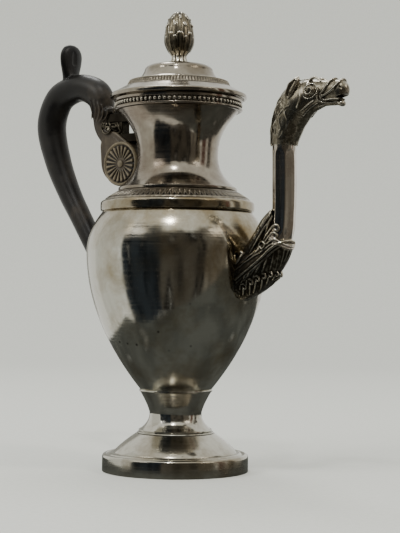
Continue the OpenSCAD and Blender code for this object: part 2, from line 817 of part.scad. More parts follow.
module handle_wood() {
    color(wood) difference() {
        union() {
            bar(wood_line, 18);
            thumb_leaf();
            hull() {
                upright(volute_x, volute_z, rosette_r, volute_w);
                upright(volute_x - 3.8, volute_z + 2.5, rosette_r - 0.2, volute_w);
                upright(volute_x - 9.5, volute_z + 12.5, 0.66 * rosette_r, volute_w);
            }
            rosette(-1);
            rosette(1);
            translate([mouth[0], 0, mouth[1]]) rotate([0, socket_slope - 90, 0]) translate([0, 0, -0.7 * socket_l])
                cylinder(r = tenon_r, h = 0.7 * socket_l + 2, $fn = 40);
        }
        arm_block(clasp_low - lower_arm_h, clasp_high + upper_arm_h, fit);
        clasp_pin_shape(cross_pin_r + fit);
        socket_pin_shape(cross_pin_r + fit);
        body_solid(fit);
    }
}

// ---- silver mounts of the handle -----------------------------------------

module clasp_block() {
    translate([clasp_back, -arm_w / 2, clasp_low]) cube([clasp_l, arm_w, clasp_high - clasp_low]);
}

module arm_block(low, high, grow) {
    translate([clasp_back - grow, -arm_w / 2 - grow, low - grow])
        cube([-clasp_back, arm_w + 2 * grow, high - low + 2 * grow]);
}

// What the arms are fitted against: the neck and the rim moulding above it
module neck_and_rim() {
    neck_solid();
    cylinder(r = neck_waist_r, h = 2 * z_lip);
    translate([0, 0, z_flare]) cylinder(r = rim_r, h = rim_h);
}

// Cast leaf that grips the wood between the two arms
module leaf_clasp() {
    color(dark_silver) difference() {
        clasp_block();
        clasp_pin_shape(cross_pin_r);
    }
}

module upper_arm() {
    color(silver) difference() {
        arm_block(clasp_high, clasp_high + upper_arm_h, 0);
        neck_and_rim();
    }
}

module lower_arm() {
    color(silver) difference() {
        arm_block(clasp_low - lower_arm_h, clasp_low, 0);
        neck_and_rim();
    }
}

module clasp_pin_shape(r) {
    translate([clasp_back + 3, 0, clasp_low + clasp_h / 2]) rotate([90, 0, 0])
        cylinder(r = r, h = 0.62 * d, center = true, $fn = 40);
}

module clasp_pin() {
    color(silver) clasp_pin_shape(cross_pin_r);
}

module socket_axis() {
    translate([low_x, 0, low_z]) rotate([0, socket_slope - 90, 0]) children();
}

module socket_pin_shape(r) {
    socket_axis() translate([0, 0, 0.65 * socket_l]) rotate([90, 0, 0])
        cylinder(r = r, h = 2 * socket_r, center = true, $fn = 40);
}

// Middle line of the socket, which leaves the body low and bends up to meet the wood
socket_line = smooth([
    [low_x + 7, low_z - 5.5, socket_r - 0.8, socket_r - 0.8],
    [low_x - 0.5, low_z + 1, socket_r - 0.8, socket_r - 0.8],
    [mix(low_x, mouth[0], 0.5), mix(low_z, mouth[1], 0.5), socket_r - 0.8, socket_r - 0.8],
    [mouth[0], mouth[1], socket_r - 0.8, socket_r - 0.8]
], 3);

module socket_outside() {
    bar(socket_line, 32);
    socket_axis() translate([0, 0, socket_l - 3]) cylinder(r = socket_r, h = 3);
}

module lower_socket() {
    color(silver) difference() {
        socket_outside();
        socket_axis() translate([0, 0, 0.3 * socket_l - fit]) cylinder(r = tenon_r + fit, h = socket_l);
        socket_pin_shape(cross_pin_r);
        body_solid(0);
    }
}

// Long round-ended plate that spreads the socket's pull over the body
module flange_blank() {
    r = socket_r + 2;
    low = low_z - 0.25 * socket_l;
    high = low_z + 0.65 * socket_l;
    for (z = [low, high]) translate([2 * low_x, 0, z]) rotate([0, 90, 0]) cylinder(r = r, h = -2 * low_x);
    translate([2 * low_x, -r, low]) cube([-2 * low_x, 2 * r, high - low]);
}

module socket_flange() {
    color(silver) difference() {
        intersection() {
            body_solid(0.9);
            flange_blank();
        }
        body_solid(0);
        socket_outside();
    }
}

module socket_pin() {
    color(silver) socket_pin_shape(cross_pin_r);
}

// ---- one line per piece --------------------------------------------------

foot_plinth();
foot_skirt();
stem_collar();
foot_stem();
stem_ring();
body_bowl();
shoulder_band();
shoulder_frieze();
neck_ring();
neck();
rim_band();
rim_beading();
spout_mount();
spout_collar();
spout_tube();
spout_head();
hinge_seat();
hinge_pin();
lid_knuckle();
lid_cover();
lid_strip();
lid_bezel();
finial_stem();
finial_cone();
finial_stud();
finial_washer();
finial_nut();
handle_wood();
upper_arm();
leaf_clasp();
lower_arm();
clasp_pin();
lower_socket();
socket_flange();
socket_pin();
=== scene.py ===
import math

import bmesh
import bpy
from mathutils import Matrix, Vector


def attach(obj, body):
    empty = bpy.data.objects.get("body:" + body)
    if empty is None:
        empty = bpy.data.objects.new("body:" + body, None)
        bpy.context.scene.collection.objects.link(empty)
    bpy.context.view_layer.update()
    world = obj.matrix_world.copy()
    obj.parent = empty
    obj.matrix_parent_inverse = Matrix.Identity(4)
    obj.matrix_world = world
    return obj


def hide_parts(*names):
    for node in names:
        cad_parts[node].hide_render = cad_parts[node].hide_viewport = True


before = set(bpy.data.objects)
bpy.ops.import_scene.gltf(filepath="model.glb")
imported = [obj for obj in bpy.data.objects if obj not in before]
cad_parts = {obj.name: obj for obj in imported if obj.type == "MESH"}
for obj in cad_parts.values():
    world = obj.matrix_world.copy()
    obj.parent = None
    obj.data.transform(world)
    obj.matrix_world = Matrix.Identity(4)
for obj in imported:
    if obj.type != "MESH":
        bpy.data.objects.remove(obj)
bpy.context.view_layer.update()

# ---- Foot ---------------------------------------------------------------------
# A turned plinth, a sloping skirt, a moulded wire, a raised stem and a thin ring.
# Sterling silver, spun and raised on stakes, soldered together and polished on a wheel,
# which leaves faint rings round the axis.

MM = 0.001
WALL = 1.1  # mm of raised silver


def turned(outline, facets=180):
    """Spins an outline of (radius, height) in mm round the pot's axis."""
    form = bmesh.new()
    points = [form.verts.new((r, 0, z)) for r, z in outline]
    edges = [form.edges.new(pair) for pair in zip(points, points[1:])]
    if outline[0][0] > 0:
        edges.append(form.edges.new((points[-1], points[0])))
    bmesh.ops.spin(
        form, geom=points + edges, cent=(0, 0, 0), axis=(0, 0, 1),
        angle=math.tau, steps=facets, use_merge=True, use_duplicate=False,
    )
    bmesh.ops.remove_doubles(form, verts=form.verts, dist=0.001)
    bmesh.ops.recalc_face_normals(form, faces=form.faces)
    return form


def sheet(outer, thickness):
    """Silver of one thickness: the outer line, then the same line moved inwards."""
    return outer + [(r - thickness, z) for r, z in reversed(outer)]


def between(a, b, t):
    return a + (b - a) * t


def steps(count):
    return [i / count for i in range(count + 1)]


def as_mesh(form, name):
    """The form's mesh; the form ends there."""
    mesh = bpy.data.meshes.new(name)
    form.to_mesh(mesh)
    form.free()
    return mesh


def as_object(name, data):
    made = bpy.data.objects.new(name, data)
    bpy.context.scene.collection.objects.link(made)
    return made


def colour(code):
    """A hex colour as written for a screen, in the linear light that Blender mixes."""
    parts = [int(code[i:i + 2], 16) / 255 for i in (1, 3, 5)]
    return [p / 12.92 if p <= 0.04045 else ((p + 0.055) / 1.055) ** 2.4 for p in parts] + [1]


def add(material, kind, links=(), values=(), stops=(), **settings):
    """One node with its settings, its fixed inputs, the sockets that feed it and, where it is a
    colour ramp, its (place, colour) stops. A map range takes 1, 2 to 3, 4 as its two ranges."""
    node = material.node_tree.nodes.new("ShaderNode" + kind)
    if stops:
        marks = node.color_ramp.elements
        (marks[0].position, first), (marks[-1].position, last) = stops[0], stops[-1]
        marks[0].color, marks[-1].color = colour(first), colour(last)
        for place, code in stops[1:-1]:
            marks.new(place).color = colour(code)
    for key, value in settings.items():
        setattr(node, key, value)
    for key, value in dict(values).items():
        node.inputs[key].default_value = value
    for key, source in dict(links).items():
        material.node_tree.links.new(source, node.inputs[key])
    return node


def blank(name):
    material = bpy.data.materials.new(name)
    material.use_nodes = True
    shader = material.node_tree.nodes["Principled BSDF"]
    place = add(material, "TexCoord").outputs["Object"]
    return material, shader, place


def polished_silver(name, clean, tarnished, cover):
    """Hand-polished sterling: clear reflections, broken by hairlines (drawn coarser than they
    are, a millimetre apart, so that they show), by shallow waves from the hammer, by warm
    brown tarnish and by a few pits."""
    material, shader, place = blank(name)
    link = material.node_tree.links.new
    along = add(material, "Mapping", {"Vector": place}, {"Scale": (20, 20, 1000)}).outputs[0]
    lines = add(material, "TexNoise", {"Vector": along}, {"Scale": 1, "Detail": 3}).outputs["Fac"]
    waves = add(material, "TexNoise", {"Vector": place}, {"Scale": 60, "Detail": 1}).outputs["Fac"]
    cloud = add(
        material, "TexNoise", {"Vector": place}, {"Scale": 34, "Detail": 7, "Roughness": 0.62}
    ).outputs["Fac"]
    film = add(material, "MapRange", {0: cloud},
               {1: 0.66 - cover / 2, 2: 0.86 - cover / 3, 3: 0, 4: 1}).outputs[0]
    pits = add(material, "TexVoronoi", {"Vector": place}, {"Scale": 120})
    hole = add(material, "MapRange", {0: pits.outputs["Distance"]},
               {1: 0.05, 2: 0.12, 3: 1, 4: 0}).outputs[0]
    seldom = add(material, "MapRange", {0: pits.outputs["Color"]},
                 {1: 0.72, 2: 0.78, 3: 0, 4: 1}).outputs[0]
    pitted = add(material, "Math", {0: hole, 1: seldom}, operation="MULTIPLY").outputs[0]
    base = add(
        material, "MixRGB", {"Fac": film}, {"Color1": colour(clean), "Color2": colour(tarnished)},
    ).outputs[0]
    base = add(
        material, "MixRGB", {"Fac": pitted, "Color1": base}, {"Color2": colour("#3A352D")}
    ).outputs[0]
    link(base, shader.inputs["Base Color"])
    shader.inputs["Metallic"].default_value = 1
    gloss = add(material, "MapRange", {0: lines}, {1: 0.3, 2: 0.7, 3: 0.05, 4: 0.17}).outputs[0]
    dull = add(material, "MapRange", {0: film}, {1: 0, 2: 1, 3: 0, 4: 0.14}).outputs[0]
    rough = add(material, "Math", {0: gloss, 1: dull}, operation="ADD").outputs[0]
    link(rough, shader.inputs["Roughness"])
    hammered = add(
        material, "Bump", {"Height": waves}, {"Strength": 0.35, "Distance": 0.0006}
    ).outputs[0]
    scored = add(
        material, "Bump", {"Height": lines, "Normal": hammered},
        {"Strength": 0.4, "Distance": 0.00005}
    ).outputs[0]
    link(scored, shader.inputs["Normal"])
    return material


foot_silver = polished_silver("polished_silver_foot", "#C4C1B6", "#8C816C", 0.42)


def piece(name, form, material, body, stands_for, crease=32, soften=0.0):
    """Makes the finished object from a form in mm, seats it on its body and hides the CAD nodes."""
    bmesh.ops.scale(form, vec=(MM, MM, MM), verts=form.verts)
    mesh = as_mesh(form, name)
    mesh.shade_smooth()
    mesh.set_sharp_from_angle(angle=math.radians(crease))
    mesh.materials.append(material)
    made = as_object(name, mesh)
    if soften:
        edge = made.modifiers.new("edge", "BEVEL")
        edge.width, edge.segments = soften * MM, 2
        edge.limit_method, edge.angle_limit = "ANGLE", math.radians(crease)
    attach(made, body)
    if stands_for:
        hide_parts(*stands_for)
    return made


plinth = [
    (44.4, 0), (47.4, 0), (47.4, 9.2), (47.25, 10), (46.85, 10.7), (46.2, 11.15), (45.4, 11.4),
    (44.8, 11.4), (44.4, 10.8), (43.4, 10.8), (43, 11.35), (42.4, 11.8), (41.6, 12), (36.9, 12),
    (36.9, 9.4), (44.4, 9.4),
]
piece("foot_plinth_turned", turned(plinth), foot_silver, "pot", ["foot_plinth"],
      soften=0.15)

slope = [(between(39.9, 25.5, t ** 1.25), 12 + 12.4 * t) for t in steps(20)]
piece("foot_skirt_spun", turned(sheet(slope, 2.2)), foot_silver, "pot", ["foot_skirt"],
      soften=0.15)

wire = [(24.4, 24.4), (24.75, 24.6), (24.8, 24.95), (24.5, 25.35), (23.3, 25.6), (23.3, 25.95),
        (23.65, 26.1), (23.9, 26.4), (23.8, 26.85), (23.3, 27.2)]
piece("stem_collar_wire", turned(sheet(wire, 3.4)), foot_silver, "pot", ["stem_collar"])

stem = [(between(16.9, 22.8, (1 - t) ** 2.2), 27.2 + 10.12 * t) for t in steps(16)]
stem += [(between(16.9, 23.1, t ** 1.35), 37.32 + 13.98 * t) for t in steps(18)[1:]]
piece("foot_stem_raised", turned(sheet(stem, WALL)), foot_silver, "pot", ["foot_stem"])

ring = [(23.1, 51.3), (23.55, 51.4), (23.8, 51.75), (23.8, 52.25), (23.55, 52.6), (23.1, 52.7)]
piece("stem_ring_wire", turned(sheet(ring, 4)), foot_silver, "pot", ["stem_ring"])

# ---- Body ---------------------------------------------------------------------
# The egg-shaped body, raised from one sheet of sterling, 1.1 mm thick, with seven
# strainer holes behind the spout. It reflects the room, and its tarnish is golden
# brown under the shoulder and round the root of the spout.

BELLY_R, BELLY_Z, BOTTOM_Z, SHOULDER_Z = 58.9, 142, 52.7, 168
FLOOR_Z = BOTTOM_Z + WALL
BELOW, ABOVE = BELLY_Z - BOTTOM_Z, SHOULDER_Z - BELLY_Z
STRAINER_Z, STRAINER_HOLES, HOLE_R, HOLE_PITCH = 127, 7, 1.5, 4.2


def body_radius(z):
    if z < BELLY_Z:
        return BELLY_R - 35.8 * ((BELLY_Z - z) / BELOW) ** 2
    return BELLY_R - 10.4 * ((z - BELLY_Z) / ABOVE) ** 2


heights = [BOTTOM_Z + BELOW * t for t in steps(56)] + [BELLY_Z + ABOVE * t for t in steps(16)[1:]]
outside = [(body_radius(z), z) for z in heights]
inside = [(r - WALL, z) for r, z in reversed(outside) if z > FLOOR_Z]
floor_rim = (body_radius(FLOOR_Z) - WALL, FLOOR_Z)
bowl = turned([(0, BOTTOM_Z)] + outside + inside + [floor_rim, (0, FLOOR_Z)])

body_silver = polished_silver("polished_silver_body", "#C6C4B9", "#978A6F", 0.44)
tree = body_silver.node_tree
shader = tree.nodes["Principled BSDF"]
bare = shader.inputs["Base Color"].links[0].from_socket
place = add(body_silver, "TexCoord").outputs["Object"]
height = add(body_silver, "SeparateXYZ", {0: place}).outputs["Z"]
smoke = add(body_silver, "TexNoise", {"Vector": place},
            {"Scale": 48, "Detail": 8, "Roughness": 0.66})
root = add(
    body_silver, "VectorMath", {0: place}, {1: (0.062, 0, 0.146)}, operation="DISTANCE"
).outputs["Value"]
near_root = add(body_silver, "MapRange", {0: root}, {1: 0.012, 2: 0.056, 3: 1, 4: 0}).outputs[0]
near_shoulder = add(body_silver, "MapRange", {0: height},
                    {1: 0.142, 2: 0.168, 3: 0, 4: 0.8}).outputs[0]
zone = add(body_silver, "Math", {0: near_root, 1: near_shoulder}, operation="MAXIMUM").outputs[0]
patchy = add(body_silver, "MapRange", {0: smoke.outputs["Fac"]},
             {1: 0.3, 2: 0.6, 3: 0.1, 4: 0.95}).outputs[0]
amount = add(body_silver, "Math", {0: zone, 1: patchy}, operation="MULTIPLY").outputs[0]
stained = add(
    body_silver, "MixRGB", {"Fac": amount, "Color1": bare}, {"Color2": colour("#7A6742")}
).outputs[0]
tree.links.new(stained, shader.inputs["Base Color"])

pot_body = piece("body_raised", bowl, body_silver, "pot", ["body_bowl"])


def baked(holder):
    """The mesh that an object's modifiers make."""
    graph = bpy.context.evaluated_depsgraph_get()
    return bpy.data.meshes.new_from_object(holder.evaluated_get(graph))


drill = bmesh.new()
for turn in range(STRAINER_HOLES):
    off_centre = HOLE_PITCH if turn < STRAINER_HOLES - 1 else 0
    out = Matrix.Rotation(math.radians(60 * turn), 4, "X")
    out = out @ Matrix.Translation((0, 0, off_centre))
    seat = Matrix.Translation((body_radius(STRAINER_Z), 0, STRAINER_Z))
    seat = seat @ out @ Matrix.Rotation(math.radians(90), 4, "Y")
    bmesh.ops.create_cone(
        drill, cap_ends=True, segments=24, radius1=HOLE_R, radius2=HOLE_R, depth=8,
        matrix=Matrix.Scale(MM, 4) @ seat,
    )
drill_bits = as_object("strainer_drill", as_mesh(drill, "strainer_drill"))
cut = pot_body.modifiers.new("strainer", "BOOLEAN")
cut.object, cut.operation, cut.solver = drill_bits, "DIFFERENCE", "EXACT"
solid = baked(pot_body)
pot_body.modifiers.clear()
pot_body.data = solid
bpy.data.objects.remove(drill_bits)

# ---- Shoulder and neck ----------------------------------------------------------
# A plain moulded band, a rolled strip of pointed leaves that slopes up to a ring,
# and the waisted neck, raised from sheet. The hollows of the leaves are dark with
# sulphide, and their edges are worn bright.

shoulder = [
    (46.3, 168), (48.5, 168), (49.4, 168), (49.85, 168.25), (50.1, 168.8), (50.2, 169.6),
    (50.2, 172.6), (50.05, 173.4), (49.6, 174.1), (49, 174.6), (48.2, 175), (46.3, 175),
]
piece("shoulder_band_moulded", turned(shoulder), body_silver, "pot", ["shoulder_band"],
      soften=0.15)


def formed(columns, rows, shape, caps=False):
    """A sheet of columns by rows, shaped by a rule that gives each point its place in mm and,
    where the piece has ornament, how far it stands proud, from 0 to 1."""
    form = bmesh.new()
    relief = form.verts.layers.float.new("relief")
    bmesh.ops.create_grid(form, x_segments=columns, y_segments=rows, size=0.5)
    for vert in form.verts:
        spot, proud = shape(vert.co.x + 0.5, vert.co.y + 0.5)
        vert.co, vert[relief] = spot, proud
    bmesh.ops.remove_doubles(form, verts=form.verts, dist=0.002)
    if caps:
        bmesh.ops.holes_fill(form, edges=[e for e in form.edges if e.is_boundary], sides=0)
    bmesh.ops.recalc_face_normals(form, faces=form.faces)
    return form


def oxidised_silver(name, hollow, middle, worn, rough=0.2):
    """Chased silver: black in the hollows, grey on the slopes, bright where it is rubbed."""
    material, shader, place = blank(name)
    proud = add(material, "Attribute", attribute_name="relief").outputs["Fac"]
    dirt = add(
        material, "TexNoise", {"Vector": place}, {"Scale": 420, "Detail": 5, "Roughness": 0.65}
    ).outputs["Fac"]
    offset = add(material, "MapRange", {0: dirt}, {1: 0.3, 2: 0.7, 3: -0.14, 4: 0.14}).outputs[0]
    level = add(material, "Math", {0: proud, 1: offset}, operation="ADD").outputs[0]
    tint = add(material, "ValToRGB", {0: level},
               stops=[(0.12, hollow), (0.5, middle), (0.88, worn)]).outputs[0]
    material.node_tree.links.new(tint, shader.inputs["Base Color"])
    shader.inputs["Metallic"].default_value = 1
    gloss = add(material, "MapRange", {0: level}, {1: 0.1, 2: 0.9, 3: 0.46, 4: rough}).outputs[0]
    material.node_tree.links.new(gloss, shader.inputs["Roughness"])
    grain = add(
        material, "Bump", {"Height": dirt}, {"Strength": 0.3, "Distance": 0.00012}
    ).outputs[0]
    material.node_tree.links.new(grain, shader.inputs["Normal"])
    return material


leaf_silver = oxidised_silver("oxidised_silver_leaf_strip", "#1C1814", "#6B6355", "#CBC3B2")

FRIEZE_LEAVES = 84


def clamp(x):
    return min(1, max(0, x))


def round_axis(r, angle, z):
    """A place at radius r from the pot's axis."""
    return (r * math.cos(angle), r * math.sin(angle), z)


def frieze(u, w):
    """One row of leaves that point down, each with a raised edge and a middle rib."""
    angle = math.tau * u
    across = (u * FRIEZE_LEAVES) % 1 - 0.5
    seat = w * 14
    if seat < 1:
        r, z, proud = between(46.2, 47.7, seat), 175, 0.5
    elif seat < 2:
        r, z, proud = between(47.7, 47, seat - 1), between(175, 176.1, seat - 1), 0.6
    elif seat <= 12:
        t = (seat - 2) / 10
        half = 0.5 * (1 - (1 - t) ** 1.6) ** 0.7 + 0.02
        rim = math.exp(-((abs(across) - half * 0.92) / 0.09) ** 2)
        rib = math.exp(-(across / 0.06) ** 2) * (0.4 + 0.6 * t)
        body = max(0, 1 - (abs(across) / max(half, 0.01)) ** 4) * 0.45
        proud = max(rim, 0.8 * rib, body) * math.sin(math.pi * clamp(0.04 + t * 0.92)) ** 0.35
        lift = 0.38 * proud - 0.2
        r, z = between(47, 40.2, t) + 0.53 * lift, between(176.1, 180.45, t) + 0.85 * lift
    else:
        t = (seat - 12) / 2
        r, z, proud = between(40.2, 36.9, t), between(180.45, 181.4, min(1, 2 * t)), 0.6
    return round_axis(r, angle, z), proud


piece("shoulder_leaf_strip", formed(FRIEZE_LEAVES * 12, 28, frieze), leaf_silver, "pot",
      ["shoulder_frieze"], crease=60)

neck_silver = polished_silver("polished_silver_neck", "#A39C8F", "#75685A", 0.6)
neck_wire = [(38.2, 181.4), (38.6, 181.6), (38.8, 182.05), (38.8, 182.95), (38.6, 183.4),
             (38.2, 183.6)]
piece("neck_ring_wire", turned(sheet(neck_wire, 2.2)), neck_silver, "pot", ["neck_ring"])

neck = [(between(26.2, 38.2, (1 - t) ** 2.4), 183.6 + 21.5 * t) for t in steps(28)]
neck += [(between(26.2, 39, t ** 2.2), 205.1 + 28.4 * t) for t in steps(28)[1:]] + [(39, 241.3)]
piece("neck_raised", turned(sheet(neck, WALL)), neck_silver, "pot", ["neck"])

# ---- Rim ------------------------------------------------------------------------
# A drawn moulding round the mouth, with a row of rolled beads lying in its groove.
# Both are silver wire; the beads are dark where they touch each other.

rim = [
    (39, 233.5), (40.4, 233.5), (41, 233.65), (41.5, 234), (41.8, 234.5), (41.75, 235.1),
    (41.3, 235.6), (40.4, 235.84), (40.4, 238.8), (41.3, 238.95), (41.75, 239.2), (41.9, 239.7),
    (41.9, 240.6), (41.75, 241), (41.3, 241.3), (39, 241.3),
]
piece("rim_moulding", turned(rim), neck_silver, "pot", ["rim_band"], soften=0.1)

BEADS, BEAD_RING_R, BEAD_RING_Z = 82, 40.62, 237.32
beads = bmesh.new()
bead_relief = beads.verts.layers.float.new("relief")
for turn in range(BEADS):
    about = Matrix.Rotation(math.tau * turn / BEADS, 4, "Z")
    bead = Matrix.Translation((BEAD_RING_R, 0, BEAD_RING_Z))
    bead = bead @ Matrix.Diagonal((1.22, 1.36, 1.42, 1))
    bmesh.ops.create_icosphere(beads, subdivisions=2, radius=1, matrix=about @ bead)
for vert in beads.verts:
    vert[bead_relief] = clamp((math.hypot(vert.co.x, vert.co.y) - 40.5) / 1.3)
piece("rim_beads_rolled", beads,
      oxidised_silver("oxidised_silver_beads", "#26231D", "#6F685A", "#CBC4B5"),
      "pot", ["rim_beading"], crease=80)

# ---- Lid ------------------------------------------------------------------------
# Raised from one disc: a broad flange, a low dome with a flat crown, and between them a
# rolled strip of small leaves that leans inwards. Its bezel drops into the mouth and keeps
# the lid central.

lid_silver = polished_silver("polished_silver_lid", "#A39C8F", "#6B604F", 0.55)
lid = [(44.1, 241.7), (44.45, 241.9), (44.6, 242.3), (44.6, 243.7), (44.35, 244.2), (43.9, 244.5)]
lid += [(between(43.9, 34.6, t), 244.5 + 4.9 * t ** 1.08) for t in steps(8)[1:]]
lid += [(33.4, 249.4), (31.6, 252.9)]
lid += [(between(29.6, 22.4, t ** 0.6), 253.3 + 6.61 * t ** 1.5) for t in steps(12)]
lid += [(15.4 + 7 * math.cos(math.pi / 2 * t), 259.91 + 3.99 * math.sin(math.pi / 2 * t))
        for t in steps(10)[1:]]
lid += [(1.55, 263.9), (1.55, 262.8), (14.3, 262.8), (20.75, 259.9), (24.05, 254.5), (30.4, 251.9),
        (32, 248.19), (42.4, 242.69), (42.4, 241.7)]
piece("lid_raised", turned(lid), lid_silver, "lid", ["lid_cover"], soften=0.1)

bezel = [(36.2, 236.2), (37.3, 236.2), (37.3, 245.4), (36.2, 246)]
piece("lid_bezel_turned", turned(bezel), lid_silver, "lid", ["lid_bezel"],
      soften=0.2)

LID_LEAVES = 108


def lid_strip(u, w):
    """Small round-topped leaves side by side, on the outside of a thin band."""
    angle = math.tau * u
    across = (u * LID_LEAVES) % 1 - 0.5
    seat = w * 14
    if seat <= 1:
        r, z, proud = between(33.5, 34.2, seat), 249.4, 0.3
    elif seat <= 12:
        t = (seat - 1) / 11
        half = 0.44 * (1 - max(0, t - 0.45) ** 2 / 0.32) if t < 0.97 else 0.0
        edge = math.exp(-((abs(across) - half) / 0.1) ** 2)
        proud = max(0.85 * edge, math.exp(-(across / 0.09) ** 2) * (0.9 - 0.7 * t),
                    0.95 if t > 0.93 or t < 0.06 else 0)
        r, z = 33.95 - 1.7 * t + 0.34 * proud, between(249.4, 252.9, t)
    else:
        t = (seat - 12) / 2
        r, z, proud = between(32.4, 31.4, t), 253, 0.8
    return round_axis(r, angle, z), proud


piece("lid_leaf_strip", formed(LID_LEAVES * 10, 28, lid_strip), leaf_silver, "lid", ["lid_strip"],
      crease=60)

# ---- Finial -----------------------------------------------------------------------
# A cast cone on a fluted stem: two whorls of round ribbed leaves below, three whorls
# of pointed scales above, the lower two with a bud in each. A stud, a washer and a nut
# hold it under the lid.

finial_silver = oxidised_silver("oxidised_silver_cast_finial", "#26221B", "#79715F", "#D9D3C4",
                                rough=0.16)


def gathered(forms):
    """Puts several forms into one, each as it is."""
    whole = bmesh.new()
    whole.verts.layers.float.new("relief")
    for form in forms:
        part = as_mesh(form, "part")
        whole.from_mesh(part)
        bpy.data.meshes.remove(part)
    return whole


def finial_stem(u, w):
    angle, t = math.tau * u, w
    if t < 0.12:
        r, z, proud = between(1.5, 7, t / 0.12), 263.9, 0.6
    elif t < 0.3:
        s = (t - 0.12) / 0.18
        bead = abs(math.cos(angle * 12))
        r = 6.9 - 1.0 * s ** 2 + 0.35 * bead * math.sin(math.pi * s)
        z, proud = 263.9 + 1.9 * s, 0.35 + 0.65 * bead
    elif t < 0.9:
        s = (t - 0.3) / 0.6
        flute = abs(math.cos(angle * 6)) ** 0.7
        r = 5.9 - 1.1 * math.sin(min(1, 1.8 * s) * math.pi / 2)
        r += 2.2 * max(0, s - 0.55) ** 1.4 / 0.33
        r, z, proud = r + 0.4 * flute - 0.25, 265.8 + 6.6 * s, flute
    else:
        s = (t - 0.9) / 0.1
        r, z, proud = between(7.3, 1.5, s), 272.4, 0.2
    return round_axis(r, angle, z), proud


piece("finial_stem_cast", formed(144, 50, finial_stem), finial_silver, "lid", ["finial_stem"],
      crease=70)


CONE_Z, CONE_H, CONE_R, WHORL = 272.4, 27, 9.9, 8


def cone_radius(t):
    if t < 0.26:
        return between(7.33, CONE_R, math.sin(math.pi / 2 * t / 0.26))
    return CONE_R * max(0, 1 - ((t - 0.26) / 0.74) ** 2.1) ** 0.5


def cone_leaf(turn, low, high, half, sharp, ribs):
    """One leaf or scale that lies on the cone, its edges sunk below the surface."""
    def shape(u, w):
        a, t = 2 * u - 1, between(low, high, w)
        width = half * (1 - w ** sharp) ** 0.6 * min(1, 0.62 + 1.3 * w)
        belly = (1 - abs(a) ** 3.2) * (1 - w ** 9)
        rib = 0.5 + 0.5 * math.cos(math.pi * a * ribs)
        rim = math.exp(-((max(abs(a), w ** 2) - 0.82) / 0.13) ** 2)
        proud = belly * (0.16 + 0.34 * rib * (1 - w ** 3)) + 0.78 * rim * (belly > 0.1)
        r = cone_radius(min(t, 0.985)) - 1.0 + belly * (0.75 + 0.4 * w * w) + 0.34 * proud
        angle = turn + a * width / max(cone_radius(min(t, 0.9)), 3.6)
        return round_axis(r, angle, CONE_Z + CONE_H * min(t, 0.995)), min(1, proud)
    return formed(16, 20, shape)


def cone_bud(turn, t, size):
    """A small bud inside a scale."""
    bud = bmesh.new()
    relief = bud.verts.layers.float.new("relief")
    r = cone_radius(t) - 0.1
    seat = Matrix.Rotation(turn, 4, "Z") @ Matrix.Translation((r, 0, CONE_Z + CONE_H * t))
    bmesh.ops.create_icosphere(bud, subdivisions=2, radius=size, matrix=seat)
    for vert in bud.verts:
        vert[relief] = clamp((math.hypot(vert.co.x, vert.co.y) - r + size * 0.2) / size)
    return bud


def cone_core(u, w):
    t = 0.01 + 0.985 * w
    r = max(0.01, cone_radius(t) - 0.75)
    return round_axis(r, math.tau * u, CONE_Z + CONE_H * t), 0.0


cone = [formed(48, 40, cone_core, caps=True)]
for offset, low, high, half, sharp, ribs in (
    (0.5, 0, 0.4, 3.3, 3, 2), (0, 0, 0.5, 3.75, 5, 3), (0.5, 0.3, 0.74, 3.6, 1.8, 1),
    (0, 0.46, 0.9, 3.1, 1.8, 1), (0.5, 0.66, 0.985, 2.5, 1.8, 1),
):
    cone += [cone_leaf(math.tau * (k + offset) / WHORL, low, high, half, sharp, ribs)
             for k in range(WHORL)]
for offset, t, size in ((0.5, 0.62, 1.1), (0, 0.79, 0.85)):
    cone += [cone_bud(math.tau * (k + offset) / WHORL, t, size) for k in range(WHORL)]
tip = bmesh.new()
tip_relief = tip.verts.layers.float.new("relief")
bmesh.ops.create_icosphere(
    tip, subdivisions=2, radius=1,
    matrix=Matrix.Translation((0, 0, 297.9)) @ Matrix.Diagonal((1.7, 1.7, 1.4, 1))
)
for vert in tip.verts:
    vert[tip_relief] = 0.8
piece("finial_cone_cast", gathered(cone + [tip]), finial_silver, "lid", ["finial_cone"],
      crease=70)

# ---- Hinge and small fasteners ------------------------------------------------------
# Knuckles, pin, stud, washer and nut are plain drawn and filed silver, left satin.
# Their shapes come straight from the frame.

plain_silver = polished_silver("satin_silver_fittings", "#A9A394", "#6E6657", 0.4)
for name in (
    "hinge_seat", "hinge_pin", "lid_knuckle", "finial_stud", "finial_washer", "finial_nut",
    "clasp_pin", "socket_pin", "socket_flange",
):
    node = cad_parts[name]
    node.data.materials.clear()
    node.data.materials.append(plain_silver)

# ---- Spout: tube --------------------------------------------------------------------
# Rolled from sheet and seamed, then chased with shallow upright flutes that end in
# a round foot above the collar.


def smooth_line(points, parts):
    """A smooth curve through the points, of any number of values each."""
    line = []
    for i in range(len(points) - 1):
        a, b, c = points[max(i - 1, 0)], points[i], points[i + 1]
        d = points[min(i + 2, len(points) - 1)]
        for j in range(parts):
            t = j / parts
            line.append(tuple(
                (2 * q + (r - p) * t + (2 * p - 5 * q + 4 * r - s) * t * t
                 + (3 * q - p - 3 * r + s) * t ** 3) / 2
                for p, q, r, s in zip(a, b, c, d)
            ))
    return line + [tuple(points[-1])]


def along(line, t):
    """The point at share t of a line, and the direction there in the XZ plane."""
    at = clamp(t) * (len(line) - 1)
    i = min(int(at), len(line) - 2)
    point = [between(p, q, at - i) for p, q in zip(line[i], line[i + 1])]
    a, b = line[max(i - 1, 0)], line[min(i + 2, len(line) - 1)]
    way = Vector((b[0] - a[0], b[1] - a[1])).normalized()
    return point, way


